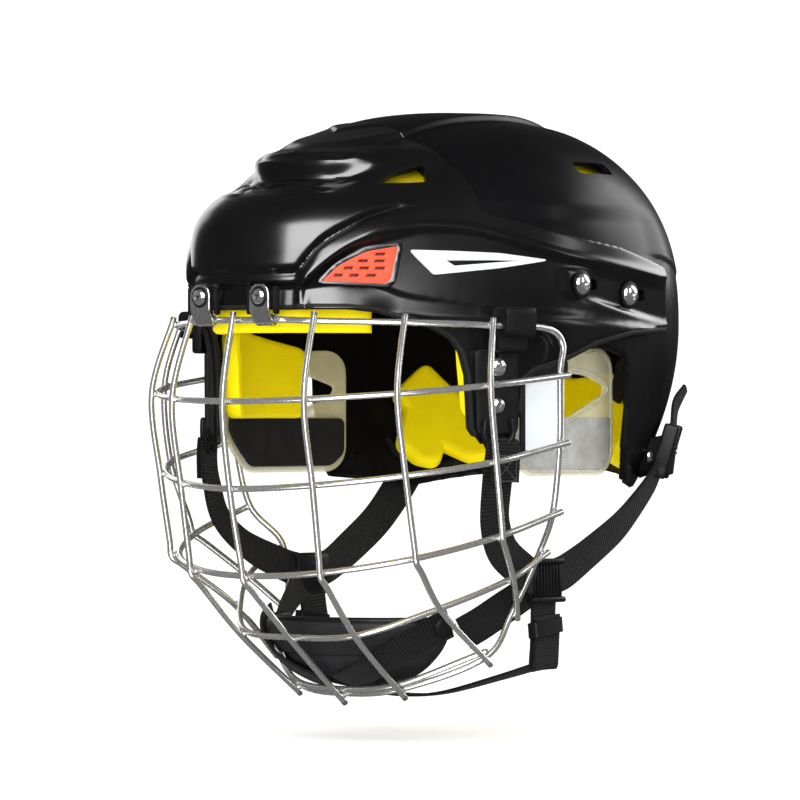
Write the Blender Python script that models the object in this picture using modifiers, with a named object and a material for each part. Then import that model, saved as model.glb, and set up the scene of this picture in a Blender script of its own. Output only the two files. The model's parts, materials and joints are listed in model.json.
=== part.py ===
"""Ice hockey helmet with a wire face cage.

Frame: +Z up, the face looks along -Y and the wearer's left is +X. The origin is the middle of the
head opening at the level of the brow line. Design numbers are in millimetres and MM turns them
into metres when a mesh or a curve is made.
"""

from math import asin, cos, exp, pi, radians, sin

import bmesh
import bpy
from mathutils import Matrix, Vector

MM = 0.001
GAP = 0.3
SIDES = (("left", 1), ("right", -1))

# Outer surface of the shell: half plan at the brow line, from the forehead to the back.
HALF_PLAN = (
    (0, -141),
    (30, -133),
    (52, -109),
    (76, -73),
    (96, -33),
    (107, 12),
    (101, 74),
    (69, 119),
    (0, 145),
)
CROWN_HEIGHT = 103
CROWN_Y = 37
CROWN_SQUARENESS = 2.4
SKIRT_DEPTH = 85
NAPE_TAPER = 0.2
RIDGE_HALF_WIDTH = 28
RIDGE_RISE = 5
BROW_SWELL = 5
SLOT_FLAT_X = 103.4
SLOT_Z = (3, 31)

SHELL_WALL = 3
SEAM_Y = -48
WING_END_Y = 62
SIZE_TRAVEL = 10
REAR_INSET = SHELL_WALL + 0.9
WING_CLEARANCE = 2.5
FOAM = 12

# Lower edge of the front shell as (plan y, z): brow, temple, tongue in front of the ear, ear arch.
FRONT_LOWER_EDGE = (
    (-141, 6),
    (-100, 6),
    (-90, 3),
    (-74, -12),
    (-64, -26),
    (-61, -52),
    (-57, -58),
    (-43, -58),
    (-38, -53),
    (-34, -28),
    (-15, -17),
    (3, -7),
    (29, -3),
    (62, -2),
)
# Upper edge of the side wings of the front shell as (plan y, z).
WING_UPPER_EDGE = ((-58, 52), (-30, 44), (10, 36), (62, 28))
# Lower edge of the rear shell as (plan y, z); ahead of the first station it is a plane at REAR_LIP_Y.
REAR_LIP_Y = -63
REAR_LOWER_EDGE = (
    (-80, 48),
    (-40, 32),
    (-15, 12),
    (10, 4),
    (50, 2),
    (60, -8),
    (66, -52),
    (76, -78),
    (100, -83),
    (145, -74),
)

# Cage: each row is (front z, rear z, plan points at the wires from the centre to the side frame).
WIRE = 3
LAYER = WIRE + GAP
CAGE_ROWS = (
    (0, -4, ((0, -134), (37, -121), (71, -97), (96, -64), (108, -24))),
    (-38, -26, ((0, -141), (40, -131), (75, -107), (100, -71), (110, -26))),
    (-79, -58, ((0, -136), (40, -125), (75, -101), (100, -67), (106, -21))),
    (-120, -91, ((0, -126), (39, -118), (74, -93), (94, -56), (99, -17))),
    (-150, -111, ((0, -92), (35, -88), (63, -61), (82, -32), (84, -8))),
)
CHIN_POINTS = ((0, -57, -178), (32, -52, -175), (65, -30, -160), (71, -17, -139))
BEND_ROW = 3
BEND_RUN = 9
HINGE_STRAIGHT = 23.5
WIRE_OVERHANG = 2.6
CHIN_WIRE_STEP = 3.6

FRONT_CLIP_X = 18.5
FRONT_CLIP_WIDTH = 10
CLIP_STEEL = 1.0
CLIP_TAB_HEIGHTS = (15.5, 10, 4)
CLIP_SCREW_Z = 10.5
CLIP_CURL_START = 190
CLIP_CURL_STEP = 25
CLIP_CURL_COUNT = 11
SIZE_SCREWS = ((-5, 17.5), (32, 13))
ANCHOR_SCREWS = ((-51, -22), (-51, -40))
# Screws as (head radius, head height, shank radius, shank length). The screws whose thread is not
# modelled end at the face that they sit on.
FRONT_SCREW = (3.4, 2.2, 0.4, -0.1)
ANCHOR_SCREW = (3.6, 2.4, 0.4, -0.1)
SIZE_SCREW = (5.2, 2.2, 1.9, SHELL_WALL + GAP)
SIZE_SLOT_HALF = 2.6
PLATE_STAND_OFF = 3.3

STRAP_WIDTH = 17
STRAP_THICK = 1.6
KEEPER_THICK = 3


# ---------------------------------------------------------------- scene and materials


def clear_scene():
    for old in list(bpy.data.objects):
        bpy.data.objects.remove(old)


def new_collection(name, hidden=False):
    made = bpy.data.collections.new(name)
    bpy.context.scene.collection.children.link(made)
    made.hide_render = hidden
    return made


clear_scene()
HELMET = new_collection("hockey_helmet_with_cage")
CUTTERS = new_collection("cutters", hidden=True)


def material(name, colour, roughness, metallic=0.0, alpha=1.0):
    made = bpy.data.materials.new(name)
    made.use_nodes = True
    shader = made.node_tree.nodes["Principled BSDF"]
    shader.inputs["Base Color"].default_value = (*colour, 1)
    shader.inputs["Roughness"].default_value = roughness
    shader.inputs["Metallic"].default_value = metallic
    shader.inputs["Alpha"].default_value = alpha
    return made


SHELL_BLACK = material("shell_black", (0.012, 0.012, 0.014), 0.18)
FOAM_YELLOW = material("foam_yellow", (0.9, 0.78, 0.04), 0.75)
FOAM_BLACK = material("foam_black", (0.03, 0.03, 0.03), 0.85)
WIRE_STEEL = material("wire_steel", (0.72, 0.72, 0.72), 0.22, 1.0)
SCREW_CHROME = material("screw_chrome", (0.8, 0.8, 0.8), 0.15, 1.0)
CLIP_METAL = material("clip_steel", (0.6, 0.6, 0.6), 0.3, 1.0)
PLASTIC_BLACK = material("plastic_black", (0.02, 0.02, 0.02), 0.4)
CLEAR_PLASTIC = material("clear_plastic", (0.85, 0.87, 0.88), 0.1, 0.0, 0.35)
CORAL_PLASTIC = material("coral_plastic", (0.85, 0.13, 0.07), 0.45)
WHITE_TRIM = material("white_trim", (0.85, 0.85, 0.82), 0.35)
WEBBING = material("black_webbing", (0.02, 0.02, 0.02), 0.9)


# ---------------------------------------------------------------- mesh helpers


def add_object(name, data, surface, collection=None):
    made = bpy.data.objects.new(name, data)
    (collection or HELMET).objects.link(made)
    if surface:
        data.materials.append(surface)
    return made


def mesh_object(name, bm, surface, collection=None, smooth=True):
    data = bpy.data.meshes.new(name)
    bm.to_mesh(data)
    bm.free()
    if smooth:
        data.shade_smooth()
        data.set_sharp_from_angle(angle=radians(40))
    return add_object(name, data, surface, collection)


def apply_modifiers(made):
    """Replace an object's mesh by its evaluated one."""
    graph = bpy.context.evaluated_depsgraph_get()
    graph.update()
    data = bpy.data.meshes.new_from_object(made.evaluated_get(graph))
    made.modifiers.clear()
    made.data = data
    return made


def as_mesh(curve_object):
    """Turn a curve into a welded mesh object of the same name, material and place."""
    graph = bpy.context.evaluated_depsgraph_get()
    graph.update()
    data = bpy.data.meshes.new_from_object(curve_object.evaluated_get(graph))
    bm = bmesh.new()
    bm.from_mesh(data)
    bmesh.ops.remove_doubles(bm, verts=bm.verts, dist=0.000005)
    bmesh.ops.recalc_face_normals(bm, faces=bm.faces)
    bm.to_mesh(data)
    bm.free()
    name = curve_object.name
    place = curve_object.matrix_world.copy()
    home = curve_object.users_collection[0]
    bpy.data.objects.remove(curve_object)
    made = bpy.data.objects.new(name, data)
    home.objects.link(made)
    made.matrix_world = place
    return made


def cut(target, cutter):
    """Cut the cutter out of the target and keep the cutter as a hidden helper."""
    cutter.hide_render = True
    cutter.display_type = "WIRE"
    boolean = target.modifiers.new("cut_" + cutter.name, "BOOLEAN")
    boolean.operation = "DIFFERENCE"
    boolean.solver = "EXACT"
    boolean.object = cutter


def solidify(made, thickness, offset=-1):
    wall = made.modifiers.new("wall", "SOLIDIFY")
    wall.thickness = thickness * MM
    wall.offset = offset
    wall.use_even_offset = True
    return made


def surface_object(name, rows, thickness, surface, closed=False, middle=(0, 0, 0)):
    """An open grid of points with its normals away from middle, thickened inwards."""
    bm = bmesh.new()
    grid = [[bm.verts.new(Vector(p) * MM) for p in row] for row in rows]
    columns = len(rows[0])
    for low, high in zip(grid, grid[1:]):
        for i in range(columns if closed else columns - 1):
            j = (i + 1) % columns
            bm.faces.new((low[i], low[j], high[j], high[i]))
    bm.normal_update()
    centre = Vector(middle) * MM
    facing = sum(
        f.normal.dot(f.calc_center_median() - centre) * f.calc_area() for f in bm.faces
    )
    if facing < 0:
        bmesh.ops.reverse_faces(bm, faces=bm.faces)
    made = mesh_object(name, bm, surface)
    return solidify(made, thickness)


def spline(stations, t):
    """Catmull-Rom curve through the stations, with t from 0 to their count less one."""
    last = len(stations) - 1
    t = min(max(t, 0.0), float(last))
    i = min(int(t), last - 1)
    f = t - i
    p1 = Vector(stations[i])
    p2 = Vector(stations[i + 1])
    p0 = Vector(stations[i - 1]) if i > 0 else 2 * p1 - p2
    p3 = Vector(stations[i + 2]) if i + 2 <= last else 2 * p2 - p1
    return (
        p1
        + (p2 - p0) * (0.5 * f)
        + (2 * p0 - 5 * p1 + 4 * p2 - p3) * (0.5 * f * f)
        + (3 * p1 - p0 - 3 * p2 + p3) * (0.5 * f * f * f)
    )


def sampled(stations, per_span):
    count = (len(stations) - 1) * per_span
    return [spline(stations, i / per_span) for i in range(count + 1)]


def mirrored(stations):
    """A half list that starts at the plane x=0, completed to both sides."""
    other = [Vector((-p[0], *p[1:])) for p in reversed(stations[1:])]
    return other + [Vector(p) for p in stations]


def wire_object(name, points, surface, radius=WIRE / 2, cyclic=False):
    data = bpy.data.curves.new(name, "CURVE")
    data.dimensions = "3D"
    data.bevel_depth = radius * MM
    data.bevel_resolution = 2
    data.use_fill_caps = True
    line = data.splines.new("POLY")
    line.points.add(len(points) - 1)
    for node, point in zip(line.points, points):
        node.co = (*(Vector(point) * MM), 1)
    line.use_cyclic_u = cyclic
    return add_object(name, data, surface)


def ribbon_object(name, points, outward, width, thickness, surface):
    """A flat band along the points; outward gives the way its face looks at each end."""
    rows = []
    last = len(points) - 1
    for i, point in enumerate(points):
        along = (points[min(i + 1, last)] - points[max(i - 1, 0)]).normalized()
        face = Vector(outward[0]).lerp(Vector(outward[1]), i / last)
        across = along.cross(face).normalized() * (width / 2)
        rows.append((point - across, point + across))
    bm = bmesh.new()
    grid = [[bm.verts.new(p * MM) for p in row] for row in rows]
    for low, high in zip(grid, grid[1:]):
        bm.faces.new((low[0], low[1], high[1], high[0]))
    made = mesh_object(name, bm, surface)
    return solidify(made, thickness, 0)


def outline_object(name, loops, thickness, surface, collection=None):
    """A flat plate in its own XY plane from closed outlines; the first is the rim, the rest holes."""
    data = bpy.data.curves.new(name, "CURVE")
    data.dimensions = "2D"
    data.fill_mode = "BOTH"
    data.extrude = thickness / 2 * MM
    for loop in loops:
        line = data.splines.new("POLY")
        line.points.add(len(loop) - 1)
        for node, point in zip(line.points, loop):
            node.co = (point[0] * MM, point[1] * MM, 0, 1)
        line.use_cyclic_u = True
    return as_mesh(add_object(name, data, surface, collection))


def rounded(corners, radius, steps=3):
    """The closed outline of a convex polygon with its corners rounded."""
    out = []
    count = len(corners)
    for i, corner in enumerate(corners):
        here = Vector(corner)
        before = (Vector(corners[i - 1]) - here).normalized() * radius
        after = (Vector(corners[(i + 1) % count]) - here).normalized() * radius
        for k in range(steps + 1):
            f = k / steps
            out.append(
                (here + before) * (1 - f) ** 2
                + here * (2 * f * (1 - f))
                + (here + after) * f**2
            )
    return out


def frame_matrix(at, outward, up=(0, 0, 1)):
    """Places local Z along outward and local Y as near as possible to up."""
    z = Vector(outward).normalized()
    x = Vector(up).cross(z).normalized()
    y = z.cross(x)
    turn = Matrix((x, y, z)).transposed().to_4x4()
    return Matrix.Translation(Vector(at) * MM) @ turn


def box_object(name, size, matrix, surface, bevel=0.0, collection=None):
    bm = bmesh.new()
    bmesh.ops.create_cube(bm, size=1, matrix=Matrix.Diagonal((*(Vector(size) * MM), 1)))
    made = mesh_object(name, bm, surface, collection, smooth=False)
    made.matrix_world = matrix
    if bevel:
        edge = made.modifiers.new("edge", "BEVEL")
        edge.width = bevel * MM
        edge.segments = 2
    return made


# ---------------------------------------------------------------- the shell's skin


def ramp(value, start, end):
    f = min(max((value - start) / (end - start), 0.0), 1.0)
    return f * f * (3 - 2 * f)


FULL_PLAN = mirrored(HALF_PLAN)
PLAN_MIDDLE = len(HALF_PLAN) - 1


def plan(q):
    """Plan point at the brow line, q=0 at the forehead and 8 at the back, on the +X side."""
    stations = list(FULL_PLAN) + [FULL_PLAN[1]]
    t = PLAN_MIDDLE + q
    if t > len(FULL_PLAN) - 1 - 1e-9:
        return Vector(HALF_PLAN[-1])
    return spline(stations, t)


def plan_q(y):
    """The plan parameter where the outline passes y."""
    low, high = 0.0, float(PLAN_MIDDLE)
    for _ in range(40):
        middle = (low + high) / 2
        if plan(middle)[1] < y:
            low = middle
        else:
            high = middle
    return (low + high) / 2


def height_to_s(z):
    if z <= 0:
        return z / SKIRT_DEPTH
    return asin(min(z / CROWN_HEIGHT, 1.0) ** (CROWN_SQUARENESS / 2)) / (pi / 2)


def scale_to_s(scale):
    """The height parameter at which a section is this share of the plan."""
    z = (1 - min(scale, 1.0) ** CROWN_SQUARENESS) ** (1 / CROWN_SQUARENESS) * CROWN_HEIGHT
    return height_to_s(z)


def raw_skin(q, s, styled=True):
    """A point of the dome on the +X side; styled adds the brow swell and the crown ridge."""
    flat_x, flat_y = plan(q)
    if s <= 0:
        scale, z = 1.0, s * SKIRT_DEPTH
    else:
        turn = min(s, 1.0) * pi / 2
        scale = max(cos(turn), 0.0) ** (2 / CROWN_SQUARENESS)
        z = CROWN_HEIGHT * sin(turn) ** (2 / CROWN_SQUARENESS)
    x = flat_x * scale
    y = CROWN_Y + (flat_y - CROWN_Y) * scale
    if z < 0:
        pull = 1 - NAPE_TAPER * (z / SKIRT_DEPTH) ** 2 * ramp(y, 10, 90)
        x *= pull
        y *= pull
    styling = 1.0 if styled else 0.0
    swell = styling * BROW_SWELL * exp(-(((z - 44) / 13) ** 2)) * ramp(-flat_y, 60, 115)
    away = Vector((flat_x, flat_y - CROWN_Y)).normalized()
    x += away.x * swell
    y += away.y * swell
    rise = ramp(RIDGE_HALF_WIDTH - x, -5, 5) * ramp(y, -108, -40) * ramp(95 - y, 0, 30)
    z += styling * RIDGE_RISE * rise
    inside = ramp(z, SLOT_Z[0], SLOT_Z[0] + 5) * ramp(-z, -SLOT_Z[1], 5 - SLOT_Z[1])
    x -= max(x - SLOT_FLAT_X, 0.0) * inside
    return Vector((x, y, z))


def skin(q, s, inset=0.0, side=1, styled=True):
    """A point of the dome on either side, moved in along its normal by inset."""
    here = raw_skin(q, s, styled)
    if inset:
        if s > 0.985:
            normal = Vector((0, 0, 1))
        else:
            ahead, behind = min(q + 0.04, PLAN_MIDDLE), max(q - 0.04, 0)
            along = raw_skin(ahead, s, styled) - raw_skin(behind, s, styled)
            if q < 0.04:
                along = Vector((1, 0, 0))
            if q > PLAN_MIDDLE - 0.04:
                along = Vector((-1, 0, 0))
            up = raw_skin(q, min(s + 0.015, 0.999), styled) - raw_skin(q, s - 0.015, styled)
            normal = along.cross(up).normalized()
        here = here - normal * inset
    here.x *= side
    if q < 1e-6 or q > PLAN_MIDDLE - 1e-6:
        here.x = 0.0
    return here


def stations_at(table, y):
    """Linear interpolation in a table of (plan y, value)."""
    if y <= table[0][0]:
        return table[0][1]
    for (y0, v0), (y1, v1) in zip(table, table[1:]):
        if y <= y1:
            return v0 + (v1 - v0) * (y - y0) / (y1 - y0)
    return table[-1][1]


def skin_grid(columns, lower, upper, inset, count, styled=True):
    """Rows of points over columns of (side, q), between two edges given as s at each q."""
    rows = []
    for j in range(count + 1):
        row = []
        for side, q in columns:
            low, high = lower(q), upper(q)
            s = low + (high - low) * j / count
            row.append(skin(q, s, inset(q, s), side, styled))
        rows.append(row)
    return rows


def both_sides(qs):
    """Columns from the far end on the right, through the middle, to the far end on the left."""
    right = [(-1, q) for q in reversed(qs[1:])]
    return right + [(1, q) for q in qs]


def patch_object(name, side, y_range, z_range, inset, thickness, surface, cells=(6, 4)):
    """A pad or plate that follows the skin on one side, between two plan y and two heights."""
    q0, q1 = plan_q(y_range[0]), plan_q(y_range[1])
    qs = [q0 + (q1 - q0) * i / cells[0] for i in range(cells[0] + 1)]
    rows = skin_grid(
        [(side, q) for q in qs],
        lambda q: height_to_s(z_range[0]),
        lambda q: height_to_s(z_range[1]),
        lambda q, s: inset,
        cells[1],
    )
    return surface_object(name, rows, thickness, surface)


# ---------------------------------------------------------------- shells


def front_lower(q):
    return height_to_s(stations_at(FRONT_LOWER_EDGE, plan(q)[1]))


def front_upper(q):
    y = plan(q)[1]
    if y < WING_UPPER_EDGE[0][0]:
        return scale_to_s((CROWN_Y - SEAM_Y) / (CROWN_Y - y))
    return height_to_s(stations_at(WING_UPPER_EDGE, y))


def rear_edge(q):
    y = plan(q)[1]
    if y < REAR_LOWER_EDGE[0][0]:
        return scale_to_s((CROWN_Y - REAR_LIP_Y) / (CROWN_Y - y))
    return height_to_s(stations_at(REAR_LOWER_EDGE, y))


def rear_inset(q, s):
    """The rear shell lies inside the front one, deeper where the wings slide over it."""
    here = raw_skin(q, s)
    under_wing = ramp(62 - here.z, 0, 12) * ramp(95 - here.y, 0, 25) * ramp(here.y, -75, -50)
    lip = ramp(-here.y, -REAR_LIP_Y - 24, -REAR_LIP_Y - 12) * ramp(here.z, 40, 55)
    return REAR_INSET + WING_CLEARANCE * under_wing + 1.3 * lip


def front_shell():
    breaks = [y for y, _ in FRONT_LOWER_EDGE[1:]]
    extra = [-137, -131, -122, -111, -82, -69, -50, -25, -6, 15, 45]
    ys = sorted(breaks + extra)
    qs = [0.0] + [plan_q(y) for y in ys]
    rows = skin_grid(both_sides(qs), front_lower, front_upper, lambda q, s: 0.0, 9)
    return surface_object("front_shell", rows, SHELL_WALL, SHELL_BLACK)


def rear_shell():
    ys = [y for y, _ in REAR_LOWER_EDGE[:-1]]
    ys += [-136, -120, -100, -60, -28, 30, 88, 112, 123, 132, 138, 142.5]
    qs = [0.0] + [plan_q(y) for y in sorted(ys)] + [float(PLAN_MIDDLE)]
    half = both_sides(qs)
    columns = half[:-1]
    top = 0.97
    rows = skin_grid(columns, rear_edge, lambda q: top, rear_inset, 9)
    bm = bmesh.new()
    grid = [[bm.verts.new(p * MM) for p in row] for row in rows]
    count = len(columns)
    for low, high in zip(grid, grid[1:]):
        for i in range(count):
            j = (i + 1) % count
            bm.faces.new((low[i], low[j], high[j], high[i]))
    pole = bm.verts.new(
        Vector((0, CROWN_Y, CROWN_HEIGHT + RIDGE_RISE - REAR_INSET)) * MM
    )
    for i in range(count):
        bm.faces.new((grid[-1][i], grid[-1][(i + 1) % count], pole))
    bm.normal_update()
    if pole.normal.z < 0:
        bmesh.ops.reverse_faces(bm, faces=bm.faces)
    made = mesh_object("rear_shell", bm, SHELL_BLACK)
    return solidify(made, SHELL_WALL)


VENT_REACH = 14


def vent_cutter(name, at, outward, corners, radius, reach=VENT_REACH, up=(0, 0, 1)):
    cutter = outline_object(name, [rounded(corners, radius, 2)], reach, None, CUTTERS)
    cutter.matrix_world = frame_matrix(at, outward, up)
    return cutter


def outward_at(q, s, side):
    inner = skin(q, s, 2.0, side)
    return (skin(q, s, 0.0, side) - inner).normalized()


# Vent outlines in the plane that touches the skin at (plan y, z), for the wearer's left.
BROW_VENT = (-107, 27)
BROW_VENT_OUTLINE = ((-19, -8.5), (13.5, -8), (18, 8.5), (2, 5.5), (-10.5, 0))
UPPER_VENT = (-99, 74)
UPPER_VENT_OUTLINE = ((-9, -3.5), (9, -3.5), (9, 3.5), (-5, 3.5))
REAR_VENTS = ((40, 78), (104, 66), (122, 30))
REAR_VENT_OUTLINE = ((-4, -17), (4, -17), (4, 17), (-4, 17))


def turned_outline(outline, side):
    """The outline as it is on the left, or its mirror image on the right."""
    if side > 0:
        return list(outline)
    return [(-x, y) for x, y in reversed(outline)]


def vents(front, rear):
    """Openings on both sides: the brow vent behind the mesh insert, a small upper one, rear slots."""
    for label, side in SIDES:
        shapes = (
            ("brow_vent_", BROW_VENT, BROW_VENT_OUTLINE, 2),
            ("upper_vent_", UPPER_VENT, UPPER_VENT_OUTLINE, 1.5),
        )
        for name, (plan_y, z), outline, radius in shapes:
            q, s = plan_q(plan_y), height_to_s(z)
            at = skin(q, s, SHELL_WALL / 2, side)
            corners = turned_outline(outline, side)
            cutter = vent_cutter(name + label, at, outward_at(q, s, side), corners, radius)
            cut(front, cutter)
        for number, (plan_y, z) in enumerate(REAR_VENTS):
            q, s = plan_q(plan_y), height_to_s(z)
            at = skin(q, s, REAR_INSET + SHELL_WALL / 2, side)
            name = f"rear_vent_{number}_{label}"
            up = (0, 1, 0) if number == 0 else (0, 0, 1)
            outward = outward_at(q, s, side)
            cut(rear, vent_cutter(name, at, outward, REAR_VENT_OUTLINE, 3, VENT_REACH, up))


def size_slots(front):
    """Slots along Y in the flat of each wing, for the size screws of the rear shell."""
    for label, side in SIDES:
        for number, (y, z) in enumerate(SIZE_SCREWS):
            half = SIZE_SLOT_HALF
            corners = [
                (-half, -half),
                (SIZE_TRAVEL + half, -half),
                (SIZE_TRAVEL + half, half),
                (-half, half),
            ]
            name = f"size_slot_{number}_{label}"
            at = (side * (SLOT_FLAT_X - SHELL_WALL / 2), y, z)
            corners = turned_outline(corners, side)
            cut(front, vent_cutter(name, at, (side, 0, 0), corners, 2, 12))


# ---------------------------------------------------------------- liner and trim


def liner():
    qs = [plan_q(y) for y in (-138, -130, -118, -104)]
    rows = skin_grid(
        both_sides([0.0] + qs),
        lambda q: height_to_s(10),
        lambda q: height_to_s(48),
        lambda q, s: SHELL_WALL + 2.6,
        4,
        styled=False,
    )
    surface_object("forehead_pad", rows, FOAM, FOAM_YELLOW)
    depth = REAR_INSET + SHELL_WALL + 1.7
    columns = [(1, q * 0.5) for q in range(17)] + [(-1, q * 0.5) for q in range(15, 0, -1)]
    rows = skin_grid(
        columns,
        lambda q: height_to_s(72),
        lambda q: height_to_s(95.5),
        lambda q, s: depth + 1.9,
        4,
        styled=False,
    )
    surface_object("crown_pad", rows, FOAM, FOAM_YELLOW, closed=True)
    rows = skin_grid(
        both_sides([8.0 - q for q in (1.3, 1.0, 0.75, 0.5, 0.25, 0.0)][::-1]),
        lambda q: height_to_s(-66),
        lambda q: height_to_s(50),
        lambda q, s: depth,
        7,
        styled=False,
    )
    surface_object("rear_pad", rows, FOAM, FOAM_YELLOW)
    for label, side in SIDES:
        patch_object(
            "side_pad_" + label,
            side,
            (8, 76),
            (10, 47),
            depth + WING_CLEARANCE + 1.9,
            FOAM,
            FOAM_YELLOW,
            (6, 4),
        )


ACCENT_Y = (-88, -31)
ACCENT_STANDS = 1.5


def trims():
    """The mesh insert behind each brow vent and the light accent on each side."""
    for label, side in SIDES:
        behind = SHELL_WALL + 3 * GAP
        patch_object(
            "vent_mesh_" + label, side, (-122, -90), (16, 38), behind, 1.6, CORAL_PLASTIC, (6, 3)
        )
        start, end = plan_q(ACCENT_Y[0]), plan_q(ACCENT_Y[1])
        qs = [start + (end - start) * i / 6 for i in range(7)]

        def low(q):
            """The lower edge rises to the rear, and its blunt front end is cut at a slant."""
            share = (q - start) / (end - start)
            return height_to_s(22 + 6 * share + 9 * max(0.0, 1 - share * 6))

        def high(q):
            return height_to_s(33 - 3.5 * (q - start) / (end - start))

        thick = ACCENT_STANDS - GAP
        rows = skin_grid([(side, q) for q in qs], low, high, lambda q, s: -ACCENT_STANDS, 1)
        surface_object("side_accent_" + label, rows, thick, WHITE_TRIM)


# ---------------------------------------------------------------- side hardware


GUARD_PLAN = ((81.5, -56), (88, -38), (90, -18), (89.5, 5), (87, 33), (83, 62))
GUARD_WALL = 2
# Outlines as (y, z).
GUARD_RIM = (
    (-54, -20),
    (-34, -14),
    (40, -13),
    (57, -24),
    (57, -62),
    (46, -73),
    (-28, -73),
    (-54, -52),
)
GUARD_HOLE = ((8, -22), (28, -23), (42, -29), (26, -42), (8, -42))
LABEL_RIM = ((-31, -26), (-2, -26), (-2, -61), (-31, -61))
LABEL_THICK = 0.5
TEMPLE_PAD_RIM = ((-56, -4), (2, -14), (2, -44), (-52, -44))
TEMPLE_FOAM = 11
BEND_STEP = 7


def guard_x(y):
    """Outer face of the ear guard at plan y."""
    for i in range(len(GUARD_PLAN) - 1):
        if y <= GUARD_PLAN[i + 1][1]:
            low, high = GUARD_PLAN[i], GUARD_PLAN[i + 1]
            f = (y - low[1]) / (high[1] - low[1])
            return spline(GUARD_PLAN, i + max(f, 0.0)).x
    return GUARD_PLAN[-1][0]


def bent_plate(name, loops, thickness, depth, side, surface):
    """A plate drawn as (y, z) outlines and bent to the ear guard's plan, depth inside its face."""
    made = outline_object(name, loops, thickness, surface)
    middle = depth + thickness / 2
    bm = bmesh.new()
    bm.from_mesh(made.data)
    for y in range(GUARD_PLAN[0][1], GUARD_PLAN[-1][1] + 1, BEND_STEP):
        bmesh.ops.bisect_plane(
            bm,
            geom=bm.verts[:] + bm.edges[:] + bm.faces[:],
            plane_co=(y * MM, 0, 0),
            plane_no=(1, 0, 0),
        )
    bm.to_mesh(made.data)
    bm.free()
    for vertex in made.data.vertices:
        y, z, through = vertex.co / MM
        vertex.co = Vector((side * (guard_x(y) - middle + through), y, z)) * MM
    if side < 0:
        made.data.flip_normals()
    bm = bmesh.new()
    bm.from_mesh(made.data)
    bmesh.ops.recalc_face_normals(bm, faces=bm.faces)
    bm.to_mesh(made.data)
    bm.free()
    return made


def dense(loop, step=7):
    """The same closed outline with points added on its long edges."""
    out = []
    for i, here in enumerate(loop):
        here = Vector(here)
        after = Vector(loop[(i + 1) % len(loop)])
        count = max(1, round((after - here).length / step))
        out += [here.lerp(after, k / count) for k in range(count)]
    return out


def ear_guards():
    for label, side in SIDES:
        loops = [dense(rounded(GUARD_RIM, 5)), dense(rounded(GUARD_HOLE, 3))]
        bent_plate("ear_guard_" + label, loops, GUARD_WALL, 0, side, CLEAR_PLASTIC)
        sheet_rim = dense(rounded(LABEL_RIM, 1.5, 2))
        above = -GAP - LABEL_THICK
        bent_plate("side_label_" + label, [sheet_rim], LABEL_THICK, above, side, WHITE_TRIM)
        pad_rim = dense(rounded(TEMPLE_PAD_RIM, 3, 2), 9)
        behind = GUARD_WALL + GAP
        bent_plate("temple_pad_" + label, [pad_rim], TEMPLE_FOAM, behind, side, FOAM_YELLOW)


def screw(name, at, outward, radius, head, shank_radius, shank, surface=SCREW_CHROME):
    """A turned pan head and shank with a crossed driver recess; at is the face it sits on."""
    profile = (
        (0.0, head),
        (radius * 0.55, head * 0.96),
        (radius * 0.88, head * 0.62),
        (radius, GAP),
        (shank_radius, GAP),
        (shank_radius, -shank),
        (0.0, -shank),
    )
    bm = bmesh.new()
    points = [bm.verts.new((r * MM, 0, z * MM)) for r, z in profile]
    for low, high in zip(points, points[1:]):
        bm.edges.new((low, high))
    made = mesh_object(name, bm, surface, smooth=False)
    turned = made.modifiers.new("turn", "SCREW")
    turned.steps = 14
    turned.render_steps = 14
    turned.use_merge_vertices = True
    turned.merge_threshold = 0.00001
    apply_modifiers(made)
    for number, size in enumerate(((radius, 0.9), (0.9, radius))):
        slot = box_object(
            f"{name}_recess_{number}",
            (*size, 1.4),
            Matrix.Translation((0, 0, head * MM)),
            None,
            0,
            CUTTERS,
        )
        cut(made, slot)
        slot.matrix_world = frame_matrix(at, outward) @ slot.matrix_world
    made.matrix_world = frame_matrix(at, outward)
    return made


def front_clips():
    """Steel loops that hold the straight top bar under the brow; the cage turns in them."""
    bar_y = CAGE_ROWS[0][2][0][1]
    hold = WIRE / 2 + GAP + CLIP_STEEL / 2
    for label, side in SIDES:
        x = side * FRONT_CLIP_X
        face_y = skin(plan_q(-138.6), height_to_s(14), 0.0, 1).y - 2 * GAP - CLIP_STEEL / 2
        path = [Vector((x, face_y, z)) for z in CLIP_TAB_HEIGHTS]
        for step in range(CLIP_CURL_COUNT):
            angle = radians(CLIP_CURL_START + CLIP_CURL_STEP * step)
            path.append(Vector((x, bar_y + hold * cos(angle), hold * sin(angle))))
        half_width = Vector((FRONT_CLIP_WIDTH / 2, 0, 0))
        rows = [(p - half_width, p + half_width) for p in path]
        bm = bmesh.new()
        grid = [[bm.verts.new(p * MM) for p in row] for row in rows]
        for low, high in zip(grid, grid[1:]):
            bm.faces.new((low[0], low[1], high[1], high[0]))
        made = mesh_object("front_clip_" + label, bm, CLIP_METAL)
        solidify(made, CLIP_STEEL, 0)
        at = (x, face_y - CLIP_STEEL / 2, CLIP_SCREW_Z)
        screw("front_clip_screw_" + label, at, (0, -1, 0), *FRONT_SCREW)


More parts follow.
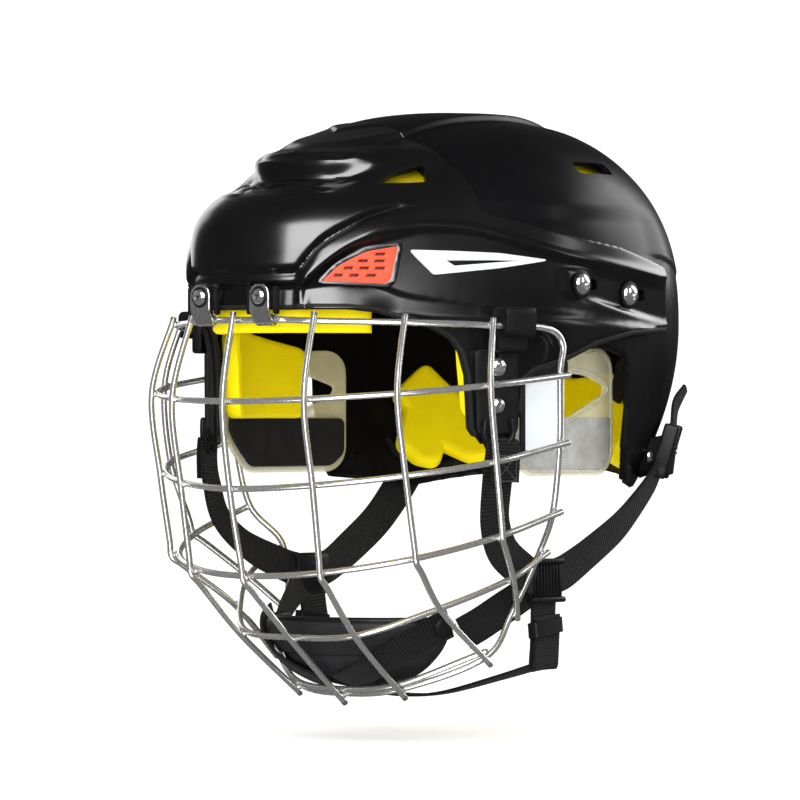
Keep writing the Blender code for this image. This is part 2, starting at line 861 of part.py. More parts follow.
def side_clips():
    """Plastic hooks over the top bar at the temples, open below so that the bar can swing out."""
    for label, side in SIDES:
        start = cage_point(0, 3.06)
        end = cage_point(0, 3.58)
        along = (end - start).normalized()
        length = (end - start).length
        middle = (start + end) / 2
        outward = Vector((along.y, -along.x, 0)).normalized()
        slot = WIRE / 2 + GAP + 0.5
        profile = [
            (-6.2, 8),
            (4.2, 8),
            (5.2, 6.5),
            (5.2, -3.5),
            (slot, -3.5),
            (slot, slot),
            (-slot, slot),
            (-slot, -8),
            (-6.2, -8),
        ]
        if side < 0:
            outward = Vector((-outward.x, outward.y, 0))
            along = Vector((-along.x, along.y, 0))
            middle = Vector((-middle.x, middle.y, middle.z))
        made = outline_object("side_clip_" + label, [profile], length, PLASTIC_BLACK)
        up = Vector((0, 0, 1))
        turn = Matrix((outward, up, outward.cross(up))).transposed().to_4x4()
        made.matrix_world = Matrix.Translation(middle * MM) @ turn


def anchor_plates():
    for label, side in SIDES:
        patch_object(
            "strap_anchor_" + label,
            side,
            (-60, -42),
            (-53, -13),
            -PLATE_STAND_OFF,
            2.8,
            PLASTIC_BLACK,
            (4, 3),
        )
        for number, (y, z) in enumerate(ANCHOR_SCREWS, 1):
            q, s = plan_q(y), height_to_s(z)
            at = skin(q, s, -PLATE_STAND_OFF, side)
            screw(f"anchor_screw_{number}_{label}", at, outward_at(q, s, side), *ANCHOR_SCREW)


def size_screws():
    for label, side in SIDES:
        for number, (y, z) in enumerate(SIZE_SCREWS, 1):
            at = (side * SLOT_FLAT_X, y, z)
            screw(f"size_screw_{number}_{label}", at, (side, 0, 0), *SIZE_SCREW)


# ---------------------------------------------------------------- cage


def row_point(row, k):
    """Crossing point of cage row and wire k, k from -4 to 4, negative on the wearer's right."""
    front_z, rear_z, points = CAGE_ROWS[row]
    x, y = points[abs(k)]
    front_y, rear_y = points[0][1], points[4][1]
    z = front_z + (rear_z - front_z) * (y - front_y) / (rear_y - front_y)
    return Vector((x if k >= 0 else -x, y, z))


def cage_point(row, t):
    """A point along a row, t from -4 to 4."""
    return spline([row_point(row, k) for k in range(-4, 5)], t + 4)


def crossing(level, k):
    """Levels 0 to 4 are the rows and level 5 is the chin edge of the frame."""
    if level < 5:
        return row_point(level, k)
    x, y, z = CHIN_POINTS[min(abs(k), 3)]
    return Vector((x if k >= 0 else -x, y, z))


def outward_normal(level, k):
    if level < 5:
        along = cage_point(level, k + 0.1) - cage_point(level, k - 0.1)
    else:
        along = crossing(5, min(k + 1, 3)) - crossing(5, max(k - 1, -3))
    down = crossing(min(level + 1, 5), k) - crossing(max(level - 1, 0), k)
    normal = along.cross(down).normalized()
    away = crossing(level, k) - Vector((0, -40, -80))
    return normal if normal.dot(away) > 0 else -normal


def upright_wire(name, k):
    """A wire from the top bar to the chin edge, outside every row, bent at the third row."""
    hang = [crossing(level, k) + outward_normal(level, k) * LAYER for level in range(6)]
    hang[BEND_ROW] += outward_normal(BEND_ROW, k) * 0.9
    above = (hang[BEND_ROW - 1] - hang[BEND_ROW]).normalized()
    below = (hang[BEND_ROW + 1] - hang[BEND_ROW]).normalized()
    route = [
        hang[0] + (hang[0] - hang[1]).normalized() * WIRE_OVERHANG,
        hang[0],
        hang[1],
        hang[2],
        hang[BEND_ROW] + above * BEND_RUN,
        hang[BEND_ROW],
        hang[BEND_ROW] + below * BEND_RUN,
        hang[4],
        hang[5],
        hang[5] + (hang[5] - hang[4]).normalized() * (WIRE_OVERHANG - 1),
    ]
    steps = (1, 4, 4, 3, 2, 2, 2, 3, 1)
    points = [route[0]]
    for span, count in enumerate(steps):
        points += [spline(route, span + (i + 1) / count) for i in range(count)]
    return wire_object(name, points, WIRE_STEEL)


def row_wire(name, row):
    points = sampled([row_point(row, k) for k in range(-4, 5)], 3)
    ends = []
    for tip, inner in ((points[0], points[1]), (points[-1], points[-2])):
        ends.append(tip + (tip - inner).normalized() * WIRE_OVERHANG)
    return wire_object(name, [ends[0], *points, ends[1]], WIRE_STEEL)


def chin_wire():
    stations = []
    for k in range(3):
        toward = (crossing(4, k) - crossing(5, k)).normalized()
        stations.append(crossing(5, k) + toward * CHIN_WIRE_STEP)
    half = [tuple(p) for p in stations]
    points = sampled(mirrored(half), 4)
    ends = []
    for tip, inner in ((points[0], points[1]), (points[-1], points[-2])):
        ends.append(tip + (tip - inner).normalized() * WIRE_OVERHANG)
    return wire_object("cage_row_5", [ends[0], *points, ends[1]], WIRE_STEEL)


def cage_frame():
    top = [row_point(0, k) for k in range(5)]
    half = [
        top[0],
        Vector((HINGE_STRAIGHT, top[0].y, top[0].z)),
        Vector((HINGE_STRAIGHT + 5, top[0].y + 0.8, top[0].z)),
        top[1],
        top[2],
        top[3],
        top[3].lerp(top[4], 0.75),
        top[4] + Vector((-1.5, 1, -7)),
    ]
    for row in (1, 2, 3, 4):
        half.append(row_point(row, 4) - outward_normal(row, 4) * LAYER)
    half += [Vector(p) for p in reversed(CHIN_POINTS)]
    right = [Vector((-p.x, p.y, p.z)) for p in reversed(half[1:-1])]
    loop = half + right
    closed = [loop[-1], *loop, loop[0], loop[1]]
    per_span = 3
    count = len(loop) * per_span
    points = [spline(closed, 1 + i / per_span) for i in range(count)]
    return wire_object("cage_frame", points, WIRE_STEEL, cyclic=True)


def cage():
    cage_frame()
    for row in (1, 2, 3, 4):
        row_wire(f"cage_row_{row}", row)
    chin_wire()
    upright_wire("cage_upright_centre", 0)
    for label, side in SIDES:
        for k in (1, 2, 3):
            upright_wire(f"cage_upright_{k}_{label}", side * k)


# ---------------------------------------------------------------- chin cup and straps


CUP_CENTRE = Vector((0, -36, -141))
CUP_RADII = (54, 48, 35)
CUP_WALL = 5


def cup_point(dip, turn):
    """A point of the ellipsoid that the cup follows, dip below the middle and turned about Z."""
    x = CUP_RADII[0] * cos(dip) * cos(turn)
    y = CUP_RADII[1] * cos(dip) * sin(turn)
    return CUP_CENTRE + Vector((x, y, CUP_RADII[2] * sin(dip)))


def chin_cup():
    """The front lower part of an ellipsoid, open at the top and towards the neck."""
    rows = []
    for j in range(7):
        dip = radians(-4 - 80 * j / 6)
        turns = [radians(-90 - 84 + 168 * i / 12) for i in range(13)]
        rows.append([cup_point(dip, turn) for turn in turns])
    return surface_object("chin_cup", rows, CUP_WALL, FOAM_BLACK, middle=CUP_CENTRE)


# Straps of the wearer's left as (name, stations, way the face looks at each end, width, thickness).
STRAPS = (
    (
        "ear_strap",
        ((93, -51, -56), (90, -52, -76), (85, -46, -98), (76, -14, -118)),
        ((1, -0.3, 0), (1, -0.1, 0)),
        STRAP_WIDTH,
        STRAP_THICK,
    ),
    (
        "rear_strap",
        ((80, 82, -77), (78, 60, -97), (76, 34, -112), (75, 21, -119)),
        ((0.9, 0.5, 0), (1, 0.1, 0)),
        STRAP_WIDTH,
        STRAP_THICK,
    ),
    (
        "chin_strap",
        ((71, -11, -131), (65, -25, -141), (58.5, -38, -148)),
        ((1, -0.2, 0), (1, 0, 0)),
        STRAP_WIDTH - 1,
        STRAP_THICK,
    ),
    (
        "strap_keeper",
        ((73, 5, -137), (73, 6, -150), (71, 7, -163)),
        ((1, 0, 0), (1, 0, 0)),
        STRAP_WIDTH + 2,
        KEEPER_THICK,
    ),
)
# Plastic pieces that hold two straps together, as (name, size, place, way the face looks).
BUCKLES = (
    ("strap_slider", (24, 21, 4.5), (73, 4, -124), (1, -0.05, 0.05)),
    ("nape_buckle", (20, 24, 5), (79, 91.5, -62), (0.82, 0.5, -0.28)),
)
BUCKLE_EDGE = 1.2
UNDER_STRAP = ((0, -10, -181), (22, -7, -179), (48, 2, -171), (66, 7, -166))
UNDER_STRAP_WIDTH = 10


def straps():
    for label, side in SIDES:
        mirror = Matrix.Diagonal((side, 1, 1))
        for name, stations, faces, width, thickness in STRAPS:
            line = [mirror @ p for p in sampled(stations, 3)]
            outward = [mirror @ Vector(face) for face in faces]
            ribbon_object(f"{name}_{label}", line, outward, width, thickness, WEBBING)
        for name, size, place, face in BUCKLES:
            matrix = frame_matrix(mirror @ Vector(place), mirror @ Vector(face))
            box_object(f"{name}_{label}", size, matrix, PLASTIC_BLACK, BUCKLE_EDGE)
    line = sampled(mirrored(UNDER_STRAP), 3)
    outward = [(-1, 0, -0.6), (1, 0, -0.6)]
    ribbon_object("under_strap", line, outward, UNDER_STRAP_WIDTH, 1.4, WEBBING)


def axis_parent(name, place, members):
    """An empty on a joint's axis that carries the moving pieces, which keep their place."""
    axis = bpy.data.objects.new(name, None)
    HELMET.objects.link(axis)
    axis.location = Vector(place) * MM
    bpy.context.view_layer.update()
    for member in members:
        member.parent = axis
        member.matrix_parent_inverse = axis.matrix_world.inverted()


def joints():
    """The cage and its chin cup swing about the straight top bar; the rear shell slides along Y."""
    rear_names = ("rear_", "crown_pad", "side_pad", "size_screw", "nape_buckle")
    solids = [made for made in HELMET.objects if made.type != "EMPTY"]
    cage_parts = [made for made in solids if made.name.startswith(("cage_", "chin_cup"))]
    rear_parts = [made for made in solids if made.name.startswith(rear_names)]
    hinge_y = CAGE_ROWS[0][2][0][1]
    axis_parent("cage_hinge_axis", (0, hinge_y, 0), cage_parts)
    axis_parent("size_slide_axis", (0, CROWN_Y, 0), rear_parts)


def main():
    front = front_shell()
    rear = rear_shell()
    vents(front, rear)
    size_slots(front)
    liner()
    trims()
    cage()
    ear_guards()
    front_clips()
    side_clips()
    anchor_plates()
    size_screws()
    chin_cup()
    straps()
    joints()


main()
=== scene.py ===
"""The looks of the ice hockey helmet: shells, liner, wires, straps, materials, light and camera.

Frame: +Z up, the face looks along -Y and the wearer's left is +X. Design numbers are in millimetres
and MM turns them into metres when a mesh is made. A place on the shell is (q, z): q runs from 0 at
the middle of the forehead to 8 at the back, along the plan outline, and z is the height.
"""

import json
from math import cos, pi, radians, sin

import bmesh
import bpy
import numpy as np
from mathutils import Matrix, Vector

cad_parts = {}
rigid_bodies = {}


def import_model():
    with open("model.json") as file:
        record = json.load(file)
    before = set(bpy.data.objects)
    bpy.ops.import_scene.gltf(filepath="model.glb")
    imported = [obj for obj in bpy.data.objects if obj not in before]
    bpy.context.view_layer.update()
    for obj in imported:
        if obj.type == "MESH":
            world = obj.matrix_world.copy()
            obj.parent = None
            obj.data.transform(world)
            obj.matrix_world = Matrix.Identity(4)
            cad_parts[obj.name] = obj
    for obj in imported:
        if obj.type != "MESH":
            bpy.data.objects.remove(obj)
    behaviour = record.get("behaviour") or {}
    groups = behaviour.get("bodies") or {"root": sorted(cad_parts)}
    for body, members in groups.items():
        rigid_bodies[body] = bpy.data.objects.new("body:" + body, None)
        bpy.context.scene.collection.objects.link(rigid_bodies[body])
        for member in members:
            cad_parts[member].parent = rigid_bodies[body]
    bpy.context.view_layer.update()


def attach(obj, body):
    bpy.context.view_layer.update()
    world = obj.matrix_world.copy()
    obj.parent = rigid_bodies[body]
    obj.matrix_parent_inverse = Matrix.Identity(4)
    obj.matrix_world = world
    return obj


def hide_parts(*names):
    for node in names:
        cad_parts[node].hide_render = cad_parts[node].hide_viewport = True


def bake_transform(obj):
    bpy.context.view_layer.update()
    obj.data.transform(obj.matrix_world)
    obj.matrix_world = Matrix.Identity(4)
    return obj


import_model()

MM = 0.001
SIDES = (("left", 1), ("right", -1))

# ---------------------------------------------------------------- the dome both shells follow

HALF_PLAN = (
    (0, -141), (30, -133), (52, -109), (76, -73), (96, -33), (107, 12), (101, 74), (69, 119),
    (0, 145),
)
CROWN_HEIGHT = 103.0
CROWN_Y = 37.0
SQUARENESS = 2.4
SKIRT_DEPTH = 85.0
NAPE_TAPER = 0.2
SLOT_FLAT_X = 103.4


def plan_ring():
    """Stations of the whole outline from the back, and the second derivatives of the closed
    cubic spline through them, so that the gloss shows no kinks."""
    other = [(-x, y) for x, y in reversed(HALF_PLAN[1:])]
    ring = np.array(other + list(HALF_PLAN[:-1]), float)
    count = len(ring)
    system = 4 * np.eye(count) + np.roll(np.eye(count), 1, 0) + np.roll(np.eye(count), -1, 0)
    bend = np.linalg.solve(system, 6 * (np.roll(ring, 1, 0) - 2 * ring + np.roll(ring, -1, 0)))
    return ring, bend


RING, RING_BEND = plan_ring()


def plan(q):
    """Plan points at the brow line, q from -8 to 8, negative on the wearer's right."""
    t = np.mod(np.asarray(q, float) + 8, len(RING))
    low = np.floor(t).astype(int) % len(RING)
    high = (low + 1) % len(RING)
    f = (t - np.floor(t))[..., None]
    straight = (1 - f) * RING[low] + f * RING[high]
    curve = ((1 - f) ** 3 - (1 - f)) * RING_BEND[low] + (f**3 - f) * RING_BEND[high]
    return straight + curve / 6


PLAN_Q = np.linspace(0, 8, 1601)
PLAN_Y = plan(PLAN_Q)[:, 1]


def plan_q(y):
    return np.interp(y, PLAN_Y, PLAN_Q)


def ramp(value, start, end):
    f = np.clip((np.asarray(value, float) - start) / (end - start), 0, 1)
    return f * f * (3 - 2 * f)


def table(value, stations):
    """Smooth interpolation through (position, value) stations, held at both ends."""
    xs = np.array([s[0] for s in stations], float)
    ys = np.array([s[1] for s in stations], float)
    slope = np.gradient(ys, xs)
    v = np.clip(value, xs[0], xs[-1])
    i = np.clip(np.searchsorted(xs, v, side="right") - 1, 0, len(xs) - 2)
    h = xs[i + 1] - xs[i]
    f = (v - xs[i]) / h
    return (
        (1 + 2 * f) * (1 - f) ** 2 * ys[i]
        + f * (1 - f) ** 2 * h * slope[i]
        + f * f * (3 - 2 * f) * ys[i + 1]
        + f * f * (f - 1) * h * slope[i + 1]
    )


def s_to_z(s):
    s = np.asarray(s, float)
    dome = CROWN_HEIGHT * np.sin(np.clip(s, 0, 1) * pi / 2) ** (2 / SQUARENESS)
    return np.where(s <= 0, s * SKIRT_DEPTH, dome)


def z_to_s(z):
    z = np.asarray(z, float)
    dome = np.arcsin(np.clip(z / CROWN_HEIGHT, 0, 1) ** (SQUARENESS / 2)) / (pi / 2)
    return np.where(z <= 0, z / SKIRT_DEPTH, dome)


def dome(q, s):
    """Points of the plain dome in millimetres."""
    q, s = np.broadcast_arrays(np.asarray(q, float), np.asarray(s, float))
    flat = plan(q)
    z = s_to_z(s)
    scale = np.cos(np.clip(s, 0, 1) * pi / 2) ** (2 / SQUARENESS)
    x = flat[..., 0] * scale
    y = CROWN_Y + (flat[..., 1] - CROWN_Y) * scale
    depth = np.clip(-z / SKIRT_DEPTH, 0, 1)
    pull = 1 - NAPE_TAPER * depth**2 * ramp(y, 10, 90)
    return np.stack([x * pull, y * pull, z], -1)


def normals(q, s):
    """Outward unit normals of the plain dome."""
    q, s = np.broadcast_arrays(np.asarray(q, float), np.asarray(s, float))
    s = np.minimum(s, 0.985)
    along = dome(q + 0.02, s) - dome(q - 0.02, s)
    up = dome(q, s + 0.008) - dome(q, s - 0.008)
    across = np.cross(along, up)
    return across / np.linalg.norm(across, axis=-1, keepdims=True)


def skin(q, s, out=0.0):
    """Points of the dome moved out by so many millimetres."""
    return dome(q, s) + normals(q, s) * np.asarray(out, float)[..., None]


def skin_point(q, z, out=0.0):
    return Vector(skin(np.array([q]), z_to_s(np.array([z])), np.array([out]))[0])


# ---------------------------------------------------------------- mesh helpers


def add_piece(name, data, surface, body):
    made = bpy.data.objects.new(name, data)
    bpy.context.scene.collection.objects.link(made)
    if surface:
        data.materials.clear()
        data.materials.append(surface)
    if body:
        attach(made, body)
    return made


def mesh_from(name, points, faces, smooth=True, angle=35):
    """A mesh from points in millimetres and lists of corner numbers."""
    data = bpy.data.meshes.new(name)
    data.from_pydata((np.asarray(points, float) * MM).tolist(), [], faces)
    data.validate()
    if smooth:
        data.shade_smooth()
        if angle:
            data.set_sharp_from_angle(angle=radians(angle))
    return data


def grid_faces(rows, columns, start=0, closed=False, flip=False):
    count = columns if closed else columns - 1
    r, c = np.meshgrid(np.arange(rows - 1), np.arange(count), indexing="ij")
    a = start + r * columns + c
    b = start + r * columns + (c + 1) % columns
    quads = np.stack([a, b, b + columns, a + columns], -1).reshape(-1, 4)
    return (quads[:, ::-1] if flip else quads).tolist()


def shell_mesh(name, outer, inner, closed=False, angle=35):
    """A closed wall between two grids of points of the same size, outer facing out."""
    rows, columns = outer.shape[:2]
    count = rows * columns
    faces = grid_faces(rows, columns, 0, closed)
    faces += grid_faces(rows, columns, count, closed, flip=True)
    rim = [list(range(columns)), [(rows - 1) * columns + i for i in range(columns)][::-1]]
    for line in rim:
        pairs = list(zip(line, line[1:]))
        if closed:
            pairs.append((line[-1], line[0]))
        faces += [[b, a, a + count, b + count] for a, b in pairs]
    if not closed:
        left = [i * columns for i in range(rows)][::-1]
        right = [i * columns + columns - 1 for i in range(rows)]
        for line in (left, right):
            faces += [[b, a, a + count, b + count] for a, b in zip(line, line[1:])]
    points = np.concatenate([outer.reshape(-1, 3), inner.reshape(-1, 3)])
    return mesh_from(name, points, faces, angle=angle)


def face_out(data):
    bm = bmesh.new()
    bm.from_mesh(data)
    bmesh.ops.remove_doubles(bm, verts=bm.verts, dist=0.000002)
    bmesh.ops.recalc_face_normals(bm, faces=bm.faces)
    bm.to_mesh(data)
    bm.free()
    return data


def applied(made):
    """Replace an object's mesh by its evaluated one."""
    graph = bpy.context.evaluated_depsgraph_get()
    graph.update()
    data = bpy.data.meshes.new_from_object(made.evaluated_get(graph))
    made.modifiers.clear()
    made.data = data
    return made


def cut(made, cutters, solver="MANIFOLD"):
    """Cut helper objects out of a piece and remove them."""
    for cutter in cutters:
        boolean = made.modifiers.new("cut", "BOOLEAN")
        boolean.operation = "DIFFERENCE"
        boolean.solver = solver
        boolean.object = cutter
    applied(made)
    for cutter in cutters:
        bpy.data.objects.remove(cutter)
    made.data.shade_smooth()
    made.data.set_sharp_from_angle(angle=radians(35))
    return made


def spline(stations, per_span):
    """Points of a Catmull-Rom curve through the stations."""
    p = np.array([tuple(s) for s in stations], float)
    p = np.concatenate([[2 * p[0] - p[1]], p, [2 * p[-1] - p[-2]]])
    out = []
    for i in range(1, len(p) - 2):
        f = np.arange(per_span)[:, None] / per_span
        out.append(
            p[i]
            + (p[i + 1] - p[i - 1]) * 0.5 * f
            + (2 * p[i - 1] - 5 * p[i] + 4 * p[i + 1] - p[i + 2]) * 0.5 * f**2
            + (3 * p[i] - p[i - 1] - 3 * p[i + 1] + p[i + 2]) * 0.5 * f**3
        )
    return np.concatenate([*out, [p[-2]]])


def mirror_half(stations):
    """A half list that starts at the plane x=0, completed to both sides."""
    return [(-s[0], *s[1:]) for s in reversed(stations[1:])] + [tuple(s) for s in stations]


def rounded(corners, radius, steps=4):
    """The closed outline of a polygon with its corners rounded."""
    out = []
    count = len(corners)
    for i, corner in enumerate(corners):
        here = Vector(corner)
        gaps = [Vector(corners[i - 1]) - here, Vector(corners[(i + 1) % count]) - here]
        before, after = [g.normalized() * min(radius, g.length * 0.45) for g in gaps]
        for k in range(steps + 1):
            f = k / steps
            out.append(
                (here + before) * (1 - f) ** 2 + here * (2 * f * (1 - f)) + (here + after) * f**2
            )
    return out


def outline_mesh(name, loops, thickness, bevel=0.0):
    """A flat plate in its own XY plane from closed outlines; the first is the rim, the rest holes."""
    data = bpy.data.curves.new(name, "CURVE")
    data.dimensions = "2D"
    data.fill_mode = "BOTH"
    data.extrude = (thickness / 2 - bevel) * MM
    data.bevel_depth = bevel * MM
    data.bevel_resolution = 1
    for loop in loops:
        line = data.splines.new("POLY")
        line.points.add(len(loop) - 1)
        for node, point in zip(line.points, loop):
            node.co = (point[0] * MM, point[1] * MM, 0, 1)
        line.use_cyclic_u = True
    helper = bpy.data.objects.new(name, data)
    bpy.context.scene.collection.objects.link(helper)
    graph = bpy.context.evaluated_depsgraph_get()
    graph.update()
    mesh = bpy.data.meshes.new_from_object(helper.evaluated_get(graph))
    bpy.data.objects.remove(helper)
    return face_out(mesh)


def sliced(mesh, step_x, step_y):
    """Add edges across a flat plate, so that it can be bent."""
    bm = bmesh.new()
    bm.from_mesh(mesh)
    co = np.array([v.co for v in bm.verts])
    for axis, step in ((0, step_x), (1, step_y)):
        normal = [0, 0, 0]
        normal[axis] = 1
        low, high = co[:, axis].min(), co[:, axis].max()
        for at in np.arange(low + step * MM, high, step * MM):
            place = [0, 0, 0]
            place[axis] = at
            geometry = bm.verts[:] + bm.edges[:] + bm.faces[:]
            bmesh.ops.bisect_plane(bm, geom=geometry, plane_co=place, plane_no=normal)
    bm.to_mesh(mesh)
    bm.free()


Q_SCALE = 40.0


def dome_plate(name, loops, out, thickness, side, bevel=0.3):
    """A plate drawn as (q, z) outlines and laid on the dome, its face so far outside the dome."""
    flat = [[(p[0] * Q_SCALE, p[1]) for p in loop] for loop in loops]
    mesh = outline_mesh(name, flat, thickness, bevel)
    sliced(mesh, 3, 4)
    co = np.array([v.co for v in mesh.vertices]) / MM
    lift = out - thickness / 2 + co[:, 2]
    points = skin(side * co[:, 0] / Q_SCALE, z_to_s(co[:, 1]), lift)
    mesh.vertices.foreach_set("co", (points * MM).ravel())
    face_out(mesh)
    mesh.shade_smooth()
    mesh.set_sharp_from_angle(angle=radians(35))
    return mesh


def frame_matrix(at, outward, up=(0, 0, 1)):
    """Places local Z along outward and local Y as near as possible to up; at in millimetres."""
    z = Vector(outward).normalized()
    x = Vector(up).cross(z).normalized()
    turn = Matrix((x, z.cross(x), z)).transposed().to_4x4()
    return Matrix.Translation(Vector(at) * MM) @ turn


def tube_mesh(name, points, radius, sides=12, radii=None, closed=False):
    """A round wire or bead along points in millimetres, with rounded ends."""
    points = np.asarray(points, float)
    count = len(points)
    radii = np.full(count, float(radius)) if radii is None else np.asarray(radii, float)
    if not closed:
        starts, ends, start_r, end_r = [], [], [], []
        for turn in (0.98, 0.8, 0.5):
            starts.append(points[0] - unit(points[1] - points[0]) * radius * (1 - turn) * 1.6)
            ends.append(points[-1] + unit(points[-1] - points[-2]) * radius * (1 - turn) * 1.6)
            start_r.append(radii[0] * min(1.0, turn * 1.02))
            end_r.append(radii[-1] * min(1.0, turn * 1.02))
        points = np.concatenate([starts[::-1], points, ends])
        radii = np.concatenate([start_r[::-1], radii, end_r])
        count = len(points)
    if closed:
        tangents = np.roll(points, -1, 0) - np.roll(points, 1, 0)
    else:
        tangents = np.gradient(points, axis=0)
    tangents /= np.linalg.norm(tangents, axis=1, keepdims=True)
    side = np.cross(tangents[0], (0.0, 0.0, 1.0))
    if np.linalg.norm(side) < 0.2:
        side = np.cross(tangents[0], (1.0, 0.0, 0.0))
    rings = []
    for i in range(count):
        side = side - tangents[i] * side.dot(tangents[i])
        side = side / np.linalg.norm(side)
        other = np.cross(tangents[i], side)
        turn = np.arange(sides) * 2 * pi / sides
        ring = np.cos(turn)[:, None] * side + np.sin(turn)[:, None] * other
        rings.append(points[i] + ring * radii[i])
    faces = grid_faces(count, sides, closed=True)
    if closed:
        shift = match_ring(rings[-1], rings[0])
        last = (count - 1) * sides
        for k in range(sides):
            a, b = last + k, last + (k + 1) % sides
            faces.append([a, b, (k + 1 + shift) % sides, (k + shift) % sides])
    else:
        faces.append(list(range(sides))[::-1])
        faces.append([(count - 1) * sides + k for k in range(sides)])
    return face_out(mesh_from(name, np.concatenate(rings), faces, angle=50))


def match_ring(last, first):
    """How far the first ring is turned against the last one of a closed tube."""
    return int(np.argmin(np.linalg.norm(first - last[0], axis=1)))


def unit(v):
    return v / np.linalg.norm(v)


def joined(name, meshes):
    """One mesh out of several."""
    bm = bmesh.new()
    for mesh in meshes:
        bm.from_mesh(mesh)
    data = bpy.data.meshes.new(name)
    bm.to_mesh(data)
    bm.free()
    data.shade_smooth()
    data.set_sharp_from_angle(angle=radians(40))
    return data


def block_mesh(name, size, bevel, matrix=None, segments=2):
    """A box with rounded edges, in millimetres."""
    bm = bmesh.new()
    scale = Matrix.Diagonal((*(Vector(size) * MM), 1))
    bmesh.ops.create_cube(bm, size=1, matrix=scale)
    if bevel:
        bmesh.ops.bevel(
            bm, geom=bm.edges[:], offset=bevel * MM, segments=segments, affect="EDGES", profile=0.5
        )
    if matrix:
        bm.transform(matrix)
    data = bpy.data.meshes.new(name)
    bm.to_mesh(data)
    bm.free()
    data.shade_smooth()
    data.set_sharp_from_angle(angle=radians(40))
    return data


def turned_mesh(name, profile, sides=32, matrix=None):
    """A closed solid of revolution about Z from (radius, height) stations in millimetres."""
    rows = []
    turn = np.arange(sides) * 2 * pi / sides
    for r, z in profile:
        r = max(r, 0.01)
        rows.append(np.stack([r * np.cos(turn), r * np.sin(turn), np.full(sides, z)], -1))
    faces = grid_faces(len(rows), sides, closed=True)
    faces.append(list(range(sides))[::-1])
    faces.append([(len(rows) - 1) * sides + k for k in range(sides)])
    data = face_out(mesh_from(name, np.concatenate(rows), faces, angle=40))
    if matrix:
        data.transform(matrix)
    return data


# ---------------------------------------------------------------- materials


class Surface:
    """A Principled material with short calls for the nodes that shape it."""

    def __init__(self, name, colour, roughness, metallic=0.0):
        self.material = bpy.data.materials.new(name)
        self.material.use_nodes = True
        self.tree = self.material.node_tree
        self.shader = self.tree.nodes["Principled BSDF"]
        self.set("Base Color", (*colour, 1))
        self.set("Roughness", roughness)
        self.set("Metallic", metallic)
        self.place = self.tree.nodes.new("ShaderNodeTexCoord").outputs["Object"]

    def set(self, socket, value):
        self.shader.inputs[socket].default_value = value

    def node(self, kind, **values):
        made = self.tree.nodes.new(kind)
        for key, value in values.items():
            if key in made.inputs:
                made.inputs[key].default_value = value
            else:
                setattr(made, key, value)
        return made

    def link(self, output, target):
        self.tree.links.new(output, target)

    def stretched(self, scale):
        """Object coordinates scaled along each axis."""
        mapping = self.node("ShaderNodeMapping")
        mapping.inputs["Scale"].default_value = scale
        self.link(self.place, mapping.inputs["Vector"])
        return mapping.outputs["Vector"]

    def noise(self, scale, detail=3.0, roughness=0.55, place=None):
        made = self.node("ShaderNodeTexNoise", Scale=scale, Detail=detail, Roughness=roughness)
        self.link(place or self.place, made.inputs["Vector"])
        return made.outputs["Fac"]

    def cells(self, scale, place=None):
        made = self.node("ShaderNodeTexVoronoi", Scale=scale)
        self.link(place or self.place, made.inputs["Vector"])
        return made.outputs["Distance"]

    def spread(self, value, low, high, to_low, to_high):
        made = self.node("ShaderNodeMapRange")
        made.inputs["From Min"].default_value = low
        made.inputs["From Max"].default_value = high
        made.inputs["To Min"].default_value = to_low
        made.inputs["To Max"].default_value = to_high
        self.link(value, made.inputs["Value"])
        return made.outputs["Result"]

    def blend_colour(self, factor, first, second):
        made = self.node("ShaderNodeMix", data_type="RGBA")
        self.link(factor, made.inputs["Factor"])
        for socket in made.inputs:
            if socket.type == "RGBA" and socket.name == "A":
                socket.default_value = (*first, 1)
            if socket.type == "RGBA" and socket.name == "B":
                socket.default_value = (*second, 1)
        return [output for output in made.outputs if output.type == "RGBA"][0]

    def colour(self, factor, first, second):
        self.link(self.blend_colour(factor, first, second), self.shader.inputs["Base Color"])

    def vary_roughness(self, factor, low, high):
        spread = self.spread(factor, 0.3, 0.7, low, high)
        self.link(spread, self.shader.inputs["Roughness"])

    def bump(self, heights):
        """Bumps in layers; each is (height output, depth in millimetres)."""
        normal = None
        for height, depth in heights:
            made = self.node("ShaderNodeBump", Strength=1.0, Distance=depth * MM)
            self.link(height, made.inputs["Height"])
            if normal:
                self.link(normal, made.inputs["Normal"])
            normal = made.outputs["Normal"]
        self.link(normal, self.shader.inputs["Normal"])


def gloss_shell():
    s = Surface("shell_gloss_black", (0.004, 0.004, 0.005), 0.16)
    s.set("Specular IOR Level", 0.4)
    s.vary_roughness(s.noise(35, 4), 0.19, 0.26)
    s.colour(s.noise(12, 2), (0.0025, 0.0025, 0.003), (0.004, 0.004, 0.0045))
    scratches = s.noise(900, 2, 0.5, s.stretched((0.15, 1.0, 0.4)))
    s.bump([(s.noise(260, 2), 0.012), (scratches, 0.004)])
    return s.material


def satin_shell():
    s = Surface("shell_satin_black", (0.004, 0.004, 0.005), 0.34)
    s.set("Specular IOR Level", 0.07)
    s.vary_roughness(s.noise(28, 4), 0.26, 0.38)
    s.colour(s.noise(9, 3), (0.003, 0.003, 0.0035), (0.005, 0.005, 0.006))
    s.bump([(s.cells(1500), 0.02), (s.noise(220, 2), 0.02)])
    return s.material


def yellow_foam():
    s = Surface("liner_foam_yellow", (0.95, 0.76, 0.0), 0.62)
    s.colour(s.noise(60, 5), (0.90, 0.70, 0.0), (0.98, 0.82, 0.004))
    s.vary_roughness(s.noise(140, 3), 0.5, 0.72)
    s.bump([(s.cells(900), 0.10), (s.noise(320, 4), 0.08)])
    s.set("Specular IOR Level", 0.08)
    s.set("Subsurface Weight", 0.08)
    s.set("Subsurface Radius", (0.004, 0.003, 0.001))
    return s.material


